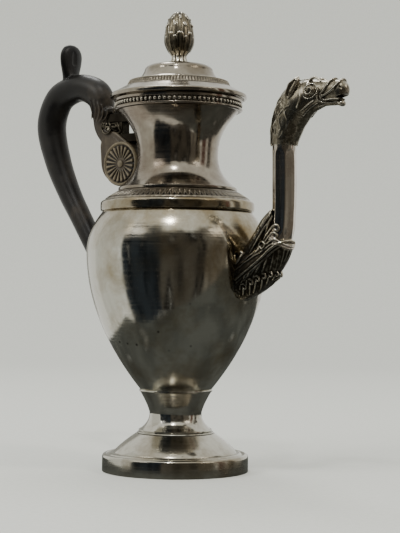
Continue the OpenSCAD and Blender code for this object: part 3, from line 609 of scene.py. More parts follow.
def ring_place(point, way, angle, deep, wide):
    """A place on the oval ring round a point of a line: 0 degrees is its outer side."""
    out, side = deep * math.cos(angle), wide * math.sin(angle)
    return (point[0] + out * way.y, side, point[1] - out * way.x)


spout_line = smooth_line([
    (65.9, 133.5, 7.4), (75.9, 141, 7.4), (84.8, 152, 7.4), (86.5, 165, 7.4),
    (86.7, 183.7, 7.6), (86.3, 204.3, 7.4), (86.3, 205.8, 7.4),
], 8)
FLUTES, FLUTE_DEEP, FLUTE_LOW, FLUTE_HIGH, OUTER_SHARE = 7, 0.75, 151.5, 203.4, 0.82


def fluted_tube(u, w):
    if w < OUTER_SHARE:
        t = w / OUTER_SHARE
        point, way = along(spout_line, t)
        across = ((u * FLUTES) % 1 - 0.5) * 2
        arch = 1 - (1 - min(1, abs(across) / 0.92) ** 2) ** 0.5
        open_low = clamp((point[1] - FLUTE_LOW - 3.6 * arch) / 2.4)
        open_high = clamp((FLUTE_HIGH - 3.0 * arch - point[1]) / 2)
        hollow = max(0, 1 - (abs(across) / 0.92) ** 2) * (open_low * open_high) ** 0.7
        r, proud = point[2] - FLUTE_DEEP * hollow, 1 - 0.85 * hollow
    else:
        t = 1 - (w - OUTER_SHARE) / (1 - OUTER_SHARE)
        point, way = along(spout_line, t)
        r, proud = point[2] - 1.2, 0.2
    return ring_place(point, way, math.tau * u, r, r), proud


tube_silver = polished_silver("polished_silver_spout_tube", "#CBC4B8", "#7C6450", 0.4)
tube_form = formed(FLUTES * 32, 170, fluted_tube)
open_ends = [e for e in tube_form.edges if e.is_boundary]
bmesh.ops.bridge_loops(tube_form, edges=open_ends)
bmesh.ops.recalc_face_normals(tube_form, faces=tube_form.faces)
piece("spout_tube_seamed", tube_form, tube_silver, "pot", ["spout_tube"],
      crease=50)

# ---- Spout: leaf mount and collar -----------------------------------------------------
# Cast by the lost wax method: a fan of veins between a row of scrolls below and two
# mouldings above, with a leaf that climbs the tube. Black sulphide fills its hollows.

unit_balls = {}
for fineness in (2, 3, 4):
    unit = bmesh.new()
    bmesh.ops.create_icosphere(unit, subdivisions=fineness, radius=1)
    unit_balls[fineness] = as_mesh(unit, "ball")


def chain(path, slim=1.0):
    """Balls set close together along a line of (x, y, z, radius); melted, they make one limb."""
    form = bmesh.new()
    for leg, (start, end) in enumerate(zip(path, path[1:])):
        gap = (Vector(end[:3]) - Vector(start[:3])).length
        count = max(1, math.ceil(gap / (0.6 * min(start[3], end[3]) ** 0.5)))
        for i in range(1 if leg else 0, count + 1):
            x, y, z, r = (between(p, q, i / count) for p, q in zip(start, end))
            ball = unit_balls[2 if r < 1.6 else 3 if r < 5 else 4].copy()
            ball.transform(Matrix.Translation((x, y, z)) @ Matrix.Diagonal((r, slim * r, r, 1)))
            form.from_mesh(ball)
            bpy.data.meshes.remove(ball)
    return form


def ridge(points, thick, thin):
    """A chased line in relief, thick in its middle and thin at its ends, on both sides."""
    line = smooth_line(points, 3)
    last = len(line) - 1
    sized = [(*p, between(thin, thick, math.sin(math.pi * clamp(i / last)) ** 0.6))
             for i, p in enumerate(line)]
    return [chain([(x, side * y, z, r) for x, y, z, r in sized]) for side in (1, -1)]


def taken(carrier):
    """The mesh that the modifiers make, and the end of its temporary object."""
    made = baked(carrier)
    spent = carrier.data
    bpy.data.objects.remove(carrier)
    bpy.data.meshes.remove(spent)
    return made


def melted(forms, voxel):
    """Melts overlapping forms into one closed skin, as wax is before it is cast."""
    wax = as_object("wax", as_mesh(gathered(forms), "wax"))
    melt = wax.modifiers.new("melt", "REMESH")
    melt.mode, melt.voxel_size = "VOXEL", voxel
    return taken(wax)


def carved(mesh, cutter):
    """Cuts one closed form out of another."""
    block, tool = as_object("wax", mesh), as_object("tool", cutter)
    cut = block.modifiers.new("cut", "BOOLEAN")
    cut.object, cut.operation, cut.solver = tool, "DIFFERENCE", "MANIFOLD"
    made = taken(block)
    spent = tool.data
    bpy.data.objects.remove(tool)
    bpy.data.meshes.remove(spent)
    return made


def bar(line, columns=64, rows=60):
    """A closed bar round a line of (x, z, half depth, half width)."""
    def place(u, w):
        point, way = along(line, w)
        return ring_place(point, way, math.tau * u, point[2], point[3]), 0.5
    return formed(columns, rows, place, caps=True)


def hulled(form):
    """Draws the form's convex hull, without what lies inside it."""
    shell = bmesh.ops.convex_hull(form, input=form.verts)
    spare = shell["geom_interior"] + shell["geom_unused"]
    spare = {g for g in spare if isinstance(g, bmesh.types.BMVert)}
    bmesh.ops.delete(form, geom=list(spare), context="VERTS")


def aged(mesh, softness, reach=12, depth=0.4):
    """Softens a cast skin, and notes at each point how far it stands out from what is round it."""
    form = bmesh.new()
    form.from_mesh(mesh)
    bpy.data.meshes.remove(mesh)
    axes = {"use_axis_x": True, "use_axis_y": True, "use_axis_z": True}
    for turn in range(softness):
        bmesh.ops.smooth_vert(form, verts=form.verts, factor=0.5, **axes)
    level = form.copy()
    for turn in range(reach):
        bmesh.ops.smooth_vert(level, verts=level.verts, factor=0.5, **axes)
    relief = form.verts.layers.float.get("relief") or form.verts.layers.float.new("relief")
    form.normal_update()
    for vert, low in zip(form.verts, level.verts):
        stand = (vert.co - low.co).dot(vert.normal)
        vert[relief] = clamp(0.5 + stand / (2 * depth))
    level.free()
    return form


mount_line = smooth_line([
    (51.9, 125, 15.5, 12), (60.9, 128.2, 14.8, 11.5), (69.9, 133, 12.9, 11),
    (78.4, 140.5, 10.8, 10.2), (83.9, 147.5, 8.9, 9.4),
], 6)
climbing_line = smooth_line([
    (61.9, 137, 8, 9), (70.4, 149, 6, 8.5), (75.9, 159, 4.8, 7.4),
    (80.4, 166.5, 2, 5),
], 5)
leaf_lines = [
    (0.9, 0.5, [(80.4, 3, 167), (79.9, 5.4, 164), (77.8, 6.6, 160.3), (75, 7.6, 155)]),
    (1, 0.6, [(74.5, 6.1, 148.1), (76.8, 5.8, 153), (79.7, 7, 158.2), (82.7, 7, 162.6)]),
    (1.1, 0.7, [(76, 7.4, 147.6), (80.3, 7.8, 152.8), (84.4, 8.4, 156.4), (86.6, 7.3, 157),
                (87.9, 7, 154.7), (86.5, 7.4, 153.3), (84.6, 7.8, 154.8)]),
    (1, 0.6, [(78.8, 9.1, 146.7), (83.2, 8.8, 151.5), (85.1, 8.1, 152.1), (86.9, 7.3, 150.7),
                (86, 8, 149.4)]),
    (1, 0.6, [(80.2, 9.5, 145.4), (84.3, 9.5, 147.8), (86.5, 9.1, 148.1), (86.8, 8.8, 146.9)]),
    (0.9, 0.7, [(59.9, 10.7, 133.2), (67.6, 10.6, 135.7), (72.7, 9.8, 140.6), (73.9, 8.7, 143.9),
                (74.6, 8.9, 146.3), (77.4, 9.8, 147), (79.5, 10, 144.8), (77.6, 10.4, 142.6),
                (75.6, 10.4, 144.2)]),
    (0.9, 0.5, [(59.5, 10.8, 132.8), (67.9, 9.9, 138.6), (74, 9.5, 142.2)]),
    (0.7, 0.5, [(58.3, 11.3, 129.9), (67.6, 10.7, 136.1), (77.1, 10.3, 140.9), (82.8, 9.7, 144.5),
                (87.4, 8.8, 146.1)]),
    (1.5, 1.1, [(57.9, 11.3, 123.7), (70.5, 10.9, 132.3), (78.2, 10.1, 138), (82.8, 9.5, 142.1),
                (88.1, 8, 145.6), (91, 4, 147.2), (92.2, 0, 147.6)]),
    (0.8, 0.6, [(58.2, 11.1, 122), (71.4, 10.6, 130.3), (80.8, 9.5, 137.6), (87.1, 7.8, 142.9),
                (91.2, 3.8, 145.1), (92.4, 0, 145.4)]),
    (0.6, 0.3, [(63, 7.6, 141.5), (69, 7, 149.5), (74, 6.2, 157), (79, 4, 165)]),
    (0.6, 0.3, [(62.5, 4, 144), (67, 3.6, 151.5), (72.5, 3.2, 160), (78.5, 1.6, 166.6)]),
    (0.7, 0.4, [(62, 0, 145), (66.6, 0, 152.6), (72, 0, 161.4), (79, 0, 168)]),
    (0.7, 0.4, [(66, 9, 139), (71.5, 8.4, 147), (76.5, 7.4, 155), (80.2, 6.4, 160.5)]),
]
scroll_caps = [(62.3, 9.5, 119.6), (67.4, 9.4, 122.5), (72, 8.7, 124.6), (76, 7.5, 126.2),
               (79.4, 5.5, 127.3), (81.4, 2, 127.6)]
scroll_feet = [(59.8, 6.3, 114.2), (64, 5, 115.1), (66.6, 4.3, 115.9), (70.5, 2.5, 117.6),
               (74.9, 2.3, 120.9), (78.2, 0.6, 123.4)]
fan_tops = [(66.8, 10.9, 128.4), (70.6, 10.7, 130.8), (74.3, 10.4, 133.6), (78.1, 10, 136.4),
            (81.8, 9.5, 139.2), (85.1, 8.4, 140.9), (87.9, 6.8, 142.1), (90.1, 4.2, 142.6),
            (91.2, 1.4, 142.6)]
fan_feet = [(61.6, 10.6, 121.6), (63.8, 10.5, 122.8), (66, 10.3, 124.1), (70.8, 9.7, 126.2),
            (76, 8.5, 127.8), (80.4, 6.2, 129.1), (83, 3.6, 130), (85.2, 1.8, 132),
            (86.6, 0.5, 134)]

cast = [bar(mount_line, 72, 60), bar(climbing_line, 48, 40)]
for thick, thin, points in leaf_lines:
    cast += ridge(points, 0.72 * thick, 0.72 * thin)
for top, foot in zip(fan_tops, fan_feet):
    swell = tuple(between(a, b, 0.5) + more for a, b, more in zip(top, foot, (0.5, 0.35, 0)))
    cast += ridge([foot, swell, top], 0.42, 0.34)
for top, foot in zip(scroll_caps, scroll_feet):
    x, y, z = top
    middle = tuple(between(a, b, 0.5) + more for a, b, more in zip(top, foot, (1.2, 1.2, 0)))
    cast += ridge([foot, middle, top], 0.65, 0.4)
    cast += ridge([(x - 2.3, y + 0.2, z - 1.9), (x - 1.6, y + 0.5, z + 0.6),
                   (x + 0.5, y + 0.5, z + 1.5), (x + 2.1, y - 0.2, z + 0.4),
                   (x + 2, y - 0.3, z - 1.4), (x + 0.6, y + 0.1, z - 1.7)], 0.66, 0.46)
cast += ridge([(58, 10.9, 133.8), (60.5, 10.2, 137.5), (61.5, 9.2, 139.5), (60.2, 9.6, 141)],
              1, 0.7)

seat_line = [(x, z, r + 0.05, r + 0.05) for x, z, r in spout_line]
funnel = bmesh.new()
for radius, spot in ((6.2, (65.9, 0, 133.5)), (6.4, (56.5, 0, 127))):
    seat = Matrix.Translation(spot)
    bmesh.ops.create_icosphere(funnel, subdivisions=3, radius=radius, matrix=seat)
hulled(funnel)


def body_plug(slack=0.0):
    """The space of the body, to be cut from what is seated on it."""
    skin = [(body_radius(z) + slack, z) for z in heights[::3]]
    skin = [(0, BOTTOM_Z)] + skin + [(48.5, SHOULDER_Z), (0, SHOULDER_Z)]
    return as_mesh(turned(skin, 120), "body_plug")


mount_skin = melted(cast, 0.36)
mount_skin = carved(mount_skin, melted([bar(seat_line, 64, 80), funnel], 0.5))
mount_skin = carved(mount_skin, body_plug())
mount_silver = oxidised_silver("oxidised_silver_cast_mount", "#100E0B", "#4A4439", "#E2DAC6",
                               rough=0.12)
piece("spout_mount_cast", aged(mount_skin, 2, depth=0.24), mount_silver, "pot", ["spout_mount"],
      crease=80)

collar = [(6.5, 0), (9.3, 0), (9.65, 0.35), (9.7, 0.8), (9.4, 1.2), (9, 1.4), (9.25, 1.7),
          (9.3, 2.1), (9.1, 2.5), (8.6, 2.8), (6.5, 2.8)]
collar_form = turned(collar, 120)
lean = math.atan2(mount_line[-1][0] - mount_line[-2][0], mount_line[-1][1] - mount_line[-2][1])
bmesh.ops.transform(
    collar_form, verts=collar_form.verts,
    matrix=Matrix.Translation((83.9, 0, 147.5)) @ Matrix.Rotation(lean, 4, "Y"),
)
piece("spout_collar_wire", collar_form, tube_silver, "pot", ["spout_collar"],
      crease=50)

# ---- Spout: head ----------------------------------------------------------------------
# The head of a beast with open jaws, cast in one piece with its neck and chased: a
# spiral for the eye, folds along the muzzle, and locks of mane that hang to a cuff.

HEAD_X, HEAD_Z, SLIM = 85.4, 205.8, 0.78


def limb(*balls):
    return chain([(HEAD_X + x, 0, HEAD_Z + z, r) for x, z, r in balls], SLIM)


head = [
    limb((0, 0, 8.4), (1.6, 7.5, 10.2), (5, 16.8, 11.4), (11.2, 25.5, 12.2), (19.6, 29.4, 10),
         (30, 31, 6.9)),
    limb((30, 31, 6.9), (41.4, 30.8, 6.6)),
    limb((11.2, 25.5, 12.2), (18.6, 23.6, 5.8), (31.5, 24.3, 2.1), (43.2, 23.3, 1.5)),
    chain([(86.3, 0, 205, 7.8), (86.3, 0, 209, 7.6)]),
    chain([(127.5, 0, 229, 1.7), (129, 0, 228.7, 1.9)], 1.5),
]
for side in (1, -1):
    head.append(chain([(HEAD_X + 24.4, side * 5.8, HEAD_Z + 31.4, 3.9),
                       (HEAD_X + 24.6, side * 5.8, HEAD_Z + 31.4, 3.9)]))
    head.append(chain([
        (95.4, side * 8, 233.6, 1.6), (96.2, side * 8.2, 236.8, 3),
        (97.8, side * 7.6, 240.6, 3.4), (99.6, side * 6.6, 243.8, 2.2),
        (100.8, side * 5.9, 246, 0.9),
    ]))

head_lines = [
    (1.2, 0.7, [(108.4, 8, 236.6), (107.6, 6.6, 240.6), (108.2, 4.6, 243.8), (110.8, 3.6, 245.4),
                (113.8, 3.8, 244.4), (116, 4.2, 242.6)]),
    (0.6, 0.45, [(106.6, 8.7, 233.8), (108.6, 9.5, 232.4), (111.8, 9.2, 232.2), (114.4, 8.1, 233.8),
                 (115.4, 7.2, 236.6), (114.6, 6.9, 239.4), (112.4, 7.6, 241),
                 (109.8, 8.7, 240.4), (108.2, 9.6, 238.2), (108.6, 10, 235.8),
                 (110.4, 10.2, 234.6), (112.4, 9.6, 235.6), (112.8, 9.4, 237.6),
                 (111.2, 9.9, 238.4), (110.2, 10.1, 237.2)]),
    (1.2, 0.8, [(117.2, 5.6, 233.2), (120.1, 5.2, 234.2), (124.9, 5.3, 236.6), (128, 4.4, 239.8),
                (129.6, 2.4, 242.3), (130, 0, 243.3)]),
    (0.9, 0.6, [(117.6, 5.9, 235.2), (119.6, 5.6, 237.6), (121.8, 4.9, 240.6), (123.6, 3.2, 243.2),
                (124.6, 0, 244.3)]),
    (0.8, 0.5, [(118.4, 5.9, 236.4), (116.8, 5.9, 234), (117.4, 4.9, 231.6), (119.8, 4.2, 231.2),
                (124, 4.3, 231.3), (128.4, 3.2, 230.8)]),
    (0.7, 0.5, [(114.6, 5.8, 235.2), (114.8, 5.6, 231.6), (117, 4.2, 229.8), (122.4, 2.2, 229.6),
                (127.5, 1.8, 229.8), (130.2, 0, 229.9)]),
    (0.55, 0.3, [(112.4, 5.6, 231.5), (107.8, 6.4, 228.4), (103.6, 6.8, 225.4)]),
    (0.55, 0.3, [(114, 4, 229.4), (109.4, 4.2, 227.6), (105.6, 4.4, 224.6),
                 (103.8, 4.4, 222.4)]),
    (0.6, 0.3, [(103, 8.6, 235.6), (104.1, 8.7, 232.9), (103, 8.6, 230),
                (101.4, 8.5, 227.4)]),
    (0.6, 0.4, [(100.4, 5.4, 243.8), (104, 5, 244.4), (108, 4.4, 244.6)]),
]
for thick, thin, points in head_lines:
    head += ridge(points, 0.78 * thick, 0.7 * thin)

neck_line = smooth_line([
    (85.9, 205.8, 8.2), (87, 213.3, 10.2), (90.4, 222.6, 11.4), (94.6, 229.6, 12),
    (100.4, 233.6, 11.6),
], 8)


def on_neck(t, turn, lift=0.0):
    """A place on the neck's skin: share t of the way up, turned from the throat to the mane."""
    point, way = along(neck_line, t)
    angle = math.radians(turn)
    out = (point[2] + lift) * math.cos(angle)
    return (point[0] + out * way.y, SLIM * (point[2] + lift) * math.sin(angle),
            point[1] - out * way.x)


for row, start in enumerate((0.98, 0.86, 0.7, 0.54, 0.38)):
    for column in range(6):
        turn = 182 - 27 * column - (13 if row % 2 else 0)
        if turn < 60 or (row == 0 and turn < 120):
            continue
        for spread, thick in ((0, 0.42), (8, 0.32)):
            bend = 11 * math.cos(1.7 * row + 2.3 * column) + spread
            head += ridge([
                on_neck(start, turn + 0.3 * spread, -0.4),
                on_neck(start - 0.07, turn + 0.9 * bend, -0.1),
                on_neck(start - 0.15, turn + 0.2 * bend, -0.05),
                on_neck(start - 0.21, turn - 0.7 * bend, -0.1),
                on_neck(start - 0.25, turn - 0.1 * bend, -0.2),
            ], thick, 0.25)
for scale in range(8):
    turn = 6 + 24 * scale
    head += ridge([
        on_neck(0.15, turn - 12, 0), on_neck(0.07, turn - 8.5, 0.35), on_neck(0.04, turn, 0.45),
        on_neck(0.07, turn + 8.5, 0.35), on_neck(0.15, turn + 12, 0),
    ], 0.5, 0.35)

head_skin = melted(head, 0.33)
base = bmesh.new()
base.from_mesh(head_skin)
bmesh.ops.bisect_plane(
    base, geom=list(base.verts) + list(base.edges) + list(base.faces), dist=0.0001,
    plane_co=(0, 0, HEAD_Z), plane_no=(0, 0, -1), clear_outer=True,
)
bmesh.ops.holes_fill(base, edges=[e for e in base.edges if e.is_boundary], sides=0)
bmesh.ops.recalc_face_normals(base, faces=base.faces)
head_skin = as_mesh(base, "head")

throat = smooth_line([
    (0.7, -1, 5.6, 5.6), (2, 8, 5.6, 5.6), (9, 19, 5, 5), (19, 26.2, 3, 4.2), (32, 27.2, 1.3, 3.6),
    (52, 26.6, 1.5, 5),
], 6)
throat_line = [(HEAD_X + x, HEAD_Z + z, high, wide) for x, z, high, wide in throat]
head_skin = carved(head_skin, as_mesh(bar(throat_line, 48, 90), "throat"))
hollows = []
for side in (1, -1):
    hollows.append(chain([
        (96.2, side * 10.7, 234.8, 1), (97, side * 11.7, 237.6, 2.2),
        (98.6, side * 11.2, 240.8, 2.3), (100, side * 9, 243.9, 1.1),
    ]))
    hollows.append(chain([(129.8, side * 4.3, 238.2, 0.8), (131.2, side * 4.6, 236.8, 0.8)]))
head_skin = carved(head_skin, melted(hollows, 0.3))
head_silver = oxidised_silver("oxidised_silver_cast_head", "#16140F", "#7C7565", "#E2DCCD",
                              rough=0.13)
piece("spout_head_cast", aged(head_skin, 2, depth=0.32), head_silver, "pot", ["spout_head"],
      crease=80)

# ---- Handle ---------------------------------------------------------------------------
# Fruitwood, stained black and waxed: a bold curve that ends in a volute with a rosette
# on each side, and a leaf on the crown for the thumb. Towards the volute it is painted
# browner, a painted sheen, and its carved hollows are painted near black as shade.

wood_line = smooth_line([
    (-67.8, 136.7, 7.06, 7.06), (-88.1, 166.6, 7.49, 7.28), (-100, 184.5, 8.24, 7.7),
    (-111.2, 206, 9.42, 8.77), (-118.5, 231.2, 10.7, 9.63), (-112, 249.1, 10.3, 9.63),
    (-98.9, 255.8, 9.63, 9.2), (-85.1, 256.3, 9.42, 9), (-71.8, 249.5, 9.84, 8.56),
    (-68, 236.6, 7.92, 7.28), (-66.2, 227.3, 7.28, 6.63), (-58.9, 218.5, 7.7, 6),
    (-49.8, 205.5, 9, 6),
], 6)
VOLUTE_X, VOLUTE_Z, FACE_Y = -45.8, 201.5, 6.0


def disc_across(form, x, z, r, depth, segments=96):
    """A disc or pin that lies across the pot."""
    bmesh.ops.create_cone(
        form, cap_ends=True, segments=segments, radius1=r, radius2=r, depth=depth,
        matrix=Matrix.Translation((x, 0, z)) @ Matrix.Rotation(math.radians(90), 4, "X"),
    )


volute = bmesh.new()
for x, z, r in ((VOLUTE_X, VOLUTE_Z, 14.6), (-49.6, 204, 14.5), (-55.3, 214, 9.6)):
    disc_across(volute, x, z, r, 12)
    disc_across(volute, x, z, r + 0.4, 10.6)
hulled(volute)

TENON_TILT = math.radians(56.4)
tenon_way = Vector((-math.cos(TENON_TILT), 0, math.sin(TENON_TILT)))
mouth = Vector((-67.8, 0, 136.7))
tenon = chain([(*(mouth - 13.6 * tenon_way), 6.1), (*(mouth + 2 * tenon_way), 6.1)])

thumb_line = smooth_line([
    (-98.4, 254, 9, 8.4), (-99.4, 259.5, 6.6, 7), (-99.9, 264, 4.7, 6.7),
    (-100.1, 269, 3.9, 7.9), (-100.1, 274, 3.6, 9.4), (-99.9, 279, 3.4, 10.1),
    (-99.7, 283, 3.1, 9.2), (-99.6, 286.2, 2.4, 6.4), (-99.5, 287.7, 1.1, 2.8),
], 6)
wood = [bar(wood_line, 72, 200), volute, tenon, bar(thumb_line, 56, 60)]
for side in (1, -1):
    wood.append(chain([(-64, side * 3.4, 236.4, 3.2), (-58.6, side * 3.2, 239.4, 2.3),
                       (-55.6, side * 3, 239, 1.6), (-55.2, side * 3, 237.2, 1.3)]))
    wood.append(chain([(-48.2, side * 5.9, 215.9, 0.7), (-54, side * 5.8, 220.2, 0.6),
                       (-60.5, side * 5.4, 225, 0.5)]))

for points in (
    [(-60.8, 5.2, 241.4), (-58.9, 5.4, 237.4), (-60.2, 6, 233.6), (-62.8, 6.3, 231.6)],
    [(-63.4, 6.7, 242.6), (-61.7, 7.1, 238), (-62.6, 7, 234), (-65, 7, 231.4)],
    [(-66.4, 7.7, 244.4), (-64.6, 7.7, 239.4), (-65.4, 7.4, 234.6), (-67.4, 7.2, 231.6)],
    [(-69.6, 8.4, 246), (-67.8, 8.1, 240.4), (-68.4, 7.7, 235.2), (-70.2, 7.2, 231.8)],
    [(-73, 8.7, 247.4), (-71.4, 8.1, 241.6), (-71.8, 7.6, 236.2), (-73, 6.8, 232.6)],
):
    wood += ridge(points, 0.55, 0.3)
wood_skin = melted(wood, 0.55)
slot_cut = bmesh.new()
slot_seat = Matrix.Translation((-30, 0, 226.4)) @ Matrix.Diagonal((60.7, 9.1, 20.3, 1))
bmesh.ops.create_cube(slot_cut, size=1, matrix=slot_seat)
wood_skin = carved(wood_skin, as_mesh(slot_cut, "slot"))
wood_skin = carved(wood_skin,
                   melted([chain([(-91, 0, 275, 6), (-90.9, 0, 281.5, 6)], 1.15)], 0.4))
wood_skin = carved(wood_skin, body_plug(0.05))


def stained_wood():
    """Waxed black stain over fine straight grain, 0.6 mm apart. Brown shows on worn ridges; the
    brown towards the volute is a painted sheen, and the hollows are painted darker as shade."""
    material, shader, place = blank("blackened_fruitwood")
    link = material.node_tree.links.new
    proud = add(material, "Attribute", attribute_name="relief").outputs["Fac"]
    stretched = add(material, "Mapping", {"Vector": place}, {"Scale": (1500, 1500, 150)}).outputs[0]
    grain = add(
        material, "TexNoise", {"Vector": stretched}, {"Scale": 1, "Detail": 4, "Distortion": 0.6}
    ).outputs["Fac"]
    cloud = add(
        material, "TexNoise", {"Vector": place}, {"Scale": 70, "Detail": 6, "Roughness": 0.6}
    ).outputs["Fac"]
    # Painted sheen: within a few centimetres of the volute the wood is painted browner, as if it
    # caught the light.
    near = add(
        material, "VectorMath", {0: place}, {1: (-0.050, 0, 0.206)}, operation="DISTANCE"
    ).outputs["Value"]
    painted_sheen_near_volute = add(material, "MapRange", {0: near}, {1: 0.016, 2: 0.09, 3: 0.55, 4: 0.0}).outputs[0]
    worn = add(material, "MapRange", {0: proud}, {1: 0.6, 2: 1, 3: 0, 4: 0.34}).outputs[0]
    level = add(material, "Math", {0: painted_sheen_near_volute, 1: worn}, operation="ADD").outputs[0]
    drift = add(material, "MapRange", {0: cloud}, {1: 0.3, 2: 0.7, 3: -0.12, 4: 0.16}).outputs[0]
    level = add(material, "Math", {0: level, 1: drift}, operation="ADD").outputs[0]
    tint = add(material, "ValToRGB", {0: level},
               stops=[(0, "#070708"), (0.3, "#191612"), (0.6, "#453C30"),
                      (1, "#857A63")]).outputs[0]
    lines = add(material, "MapRange", {0: grain}, {1: 0.35, 2: 0.7, 3: 0, 4: 0.35}).outputs[0]
    tint = add(
        material, "MixRGB", {"Fac": lines, "Color1": tint}, {"Color2": colour("#0E0C0A")}
    ).outputs[0]
    # Painted shade: the carved hollows and the gaps between the rosette's petals are painted near
    # black.
    painted_hollow_shade = add(material, "MapRange", {0: proud}, {1: 0.16, 2: 0.4, 3: 0.8, 4: 0.0}).outputs[0]
    tint = add(material, "MixRGB", {"Fac": painted_hollow_shade, "Color1": tint},
               {"Color2": colour("#0F0D0A")}).outputs[0]
    link(tint, shader.inputs["Base Color"])
    link(add(material, "MapRange", {0: cloud}, {1: 0.3, 2: 0.75, 3: 0.3, 4: 0.5}).outputs[0],
         shader.inputs["Roughness"])
    bump = add(material, "Bump", {"Height": grain},
               {"Strength": 0.25, "Distance": 0.00008}).outputs[0]
    link(bump, shader.inputs["Normal"])
    shader.inputs["Specular IOR Level"].default_value = 0.28
    return material


dark_wood = stained_wood()
piece("handle_carved", aged(wood_skin, 2, reach=10, depth=0.45), dark_wood, "pot", ["handle_wood"],
      crease=60)

PETALS = 20


def rosette(side):
    def place(u, w):
        """Petals round a button, inside a rolled rim, as heights above the volute's face."""
        r, turn = 15.0 * w, math.tau * u
        across = abs(((u * PETALS) % 1) - 0.5) * 2
        if r < 2.5:
            high, proud = 1.25 * (1 - (r / 2.6) ** 2) ** 0.5 + 0.15, 0.85
        elif r < 4.1:
            high, proud = 0.05 - 0.35 * math.sin(math.pi * (r - 2.5) / 1.6), 0.05
        elif r < 12.2:
            t = (r - 4.1) / 8.1
            width = 0.34 + 0.42 * t ** 0.7
            tip = max(0, 1 - (max(0, t - 0.86) / 0.14) ** 2) ** 0.5
            across_share = across / max(0.04, width * tip)
            swell = max(0, 1 - across_share ** 2.4) ** 0.5 if across_share < 1 else 0
            high = 0.06 + (0.35 + 1.15 * t ** 0.8) * swell * min(1, 5 * t + 0.25)
            proud = 0.06 + 0.9 * swell
        elif r < 12.9:
            high, proud = 0.05, 0.05
        else:
            t = (r - 12.9) / 2.1
            high = 1.25 * math.sin(math.pi * min(1, t)) ** 0.6 - 0.3 * max(0, t - 0.9) / 0.1
            proud = 0.95
        return (VOLUTE_X + r * math.cos(turn), side * (FACE_Y + high),
                VOLUTE_Z + r * math.sin(turn)), proud
    return formed(PETALS * 14, 72, place)


for side, name in ((-1, "right"), (1, "left")):
    piece("handle_rosette_" + name, rosette(side), dark_wood, "pot", ["handle_wood"],
          crease=70)

# ---- Silver mounts of the handle --------------------------------------------------------
# Two filed bars reach from the neck into the wood, with a cast leaf gripped between
# them and a pin through all. Below, a bent socket and its plate are soldered to the body.

# Painted shade: the bars and the socket are silver coloured near black, for the shade they stand
# in.
shade_dark_fittings = polished_silver("silver_mounts_painted_shade", "#3A362F", "#1D1914", 0.7)


def filed(name, node, width, material):
    """The frame's own solid for a bar, with its sharp edges filed round."""
    form = bmesh.new()
    form.from_mesh(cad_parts[node].data)
    bmesh.ops.scale(form, vec=(1 / MM, 1 / MM, 1 / MM), verts=form.verts)
    bmesh.ops.remove_doubles(form, verts=form.verts, dist=0.01)
    bmesh.ops.dissolve_limit(form, angle_limit=math.radians(2), verts=form.verts, edges=form.edges)
    piece(name, form, material, "pot", [node], soften=width)


filed("upper_arm_filed", "upper_arm", 0.7, shade_dark_fittings)
filed("lower_arm_filed", "lower_arm", 0.7, shade_dark_fittings)

clasp_block = bmesh.new()
bmesh.ops.create_cube(
    clasp_block, size=1,
    matrix=Matrix.Translation((-53.6, 0, 225.8)) @ Matrix.Diagonal((13.4, 7.4, 8.2, 1)),
)
clasp = [clasp_block]
clasp_lines = [
    (0.9, 0.6, [(-59.4, 3.9, 228.8), (-57.6, 4, 229.2), (-54, 4.1, 229.1),
                (-50.4, 4, 229.2)]),
    (0.9, 0.5, [(-58.8, 3.9, 228), (-58.6, 4.2, 225.4), (-57.2, 4.2, 223.6), (-55.2, 4.1, 222.8),
                (-51.6, 4, 222.6), (-48, 3.9, 223.2)]),
    (0.8, 0.5, [(-57.2, 4, 228.6), (-57, 4.4, 226.2), (-55.4, 4.3, 224.6)]),
    (0.8, 0.5, [(-55.4, 4, 228.8), (-54.4, 4.4, 227.2), (-55.2, 4.5, 225.9), (-53.8, 4.4, 225),
                (-52.8, 4.3, 226.2)]),
    (0.8, 0.5, [(-53.4, 4, 228.8), (-51.6, 4.4, 227.6), (-50.6, 4.3, 225.8),
                (-51.8, 4.2, 224)]),
    (0.8, 0.5, [(-51, 4, 228.9), (-49.6, 4.2, 227.2), (-48.6, 4.1, 225),
                (-47.6, 3.9, 223.8)]),
]
lap_lines = [
    (0.8, 0.5, [(-62.6, 6.3, 230.2), (-63.2, 6.7, 227.2), (-62.2, 6.8, 224.4), (-59.8, 6.9, 222.6),
                (-56.8, 6.8, 222.6), (-55.2, 6.5, 224), (-56.2, 6.5, 225.6),
                (-57.8, 6.6, 225)]),
    (0.7, 0.4, [(-60.8, 6.5, 230), (-61.2, 6.8, 227.8), (-60.2, 6.9, 226.2)]),
    (0.7, 0.4, [(-59, 6.4, 230), (-58.4, 6.8, 228.4), (-59.2, 6.8, 227.2),
                (-58.2, 6.7, 226.6)]),
    (0.7, 0.4, [(-57, 6.2, 230), (-55.6, 6.5, 228.6), (-54.6, 6.2, 226.6), (-53, 5.4, 225),
                (-50.6, 4.6, 224.4)]),
]
for thick, thin, points in clasp_lines + lap_lines:
    clasp += ridge(points, thick, thin)
for side in (1, -1):
    clasp.append(chain([(-61.4, side * 6, 227.6, 1.5), (-58.6, side * 6, 226.4, 1.5),
                        (-55.6, side * 5.6, 226.6, 1.5), (-52, side * 4.4, 226, 1.5)]))
clasp_skin = melted(clasp, 0.28)
clasp_drill = bmesh.new()
disc_across(clasp_drill, -57.3, 225.8, 1.1, 20, 48)
clasp_skin = carved(clasp_skin, as_mesh(clasp_drill, "drill"))
clasp_silver = oxidised_silver("oxidised_silver_cast_clasp", "#0D0B09", "#2E2A22", "#777062")
piece("leaf_clasp_cast", aged(clasp_skin, 1), clasp_silver, "pot", ["leaf_clasp"],
      crease=80)

filed("lower_socket_raised", "lower_socket", 0.25, shade_dark_fittings)

# ---- Camera ---------------------------------------------------------------------------
# A long lens from about a metre, a little above the foot, square to the near side of
# the spout and the handle.

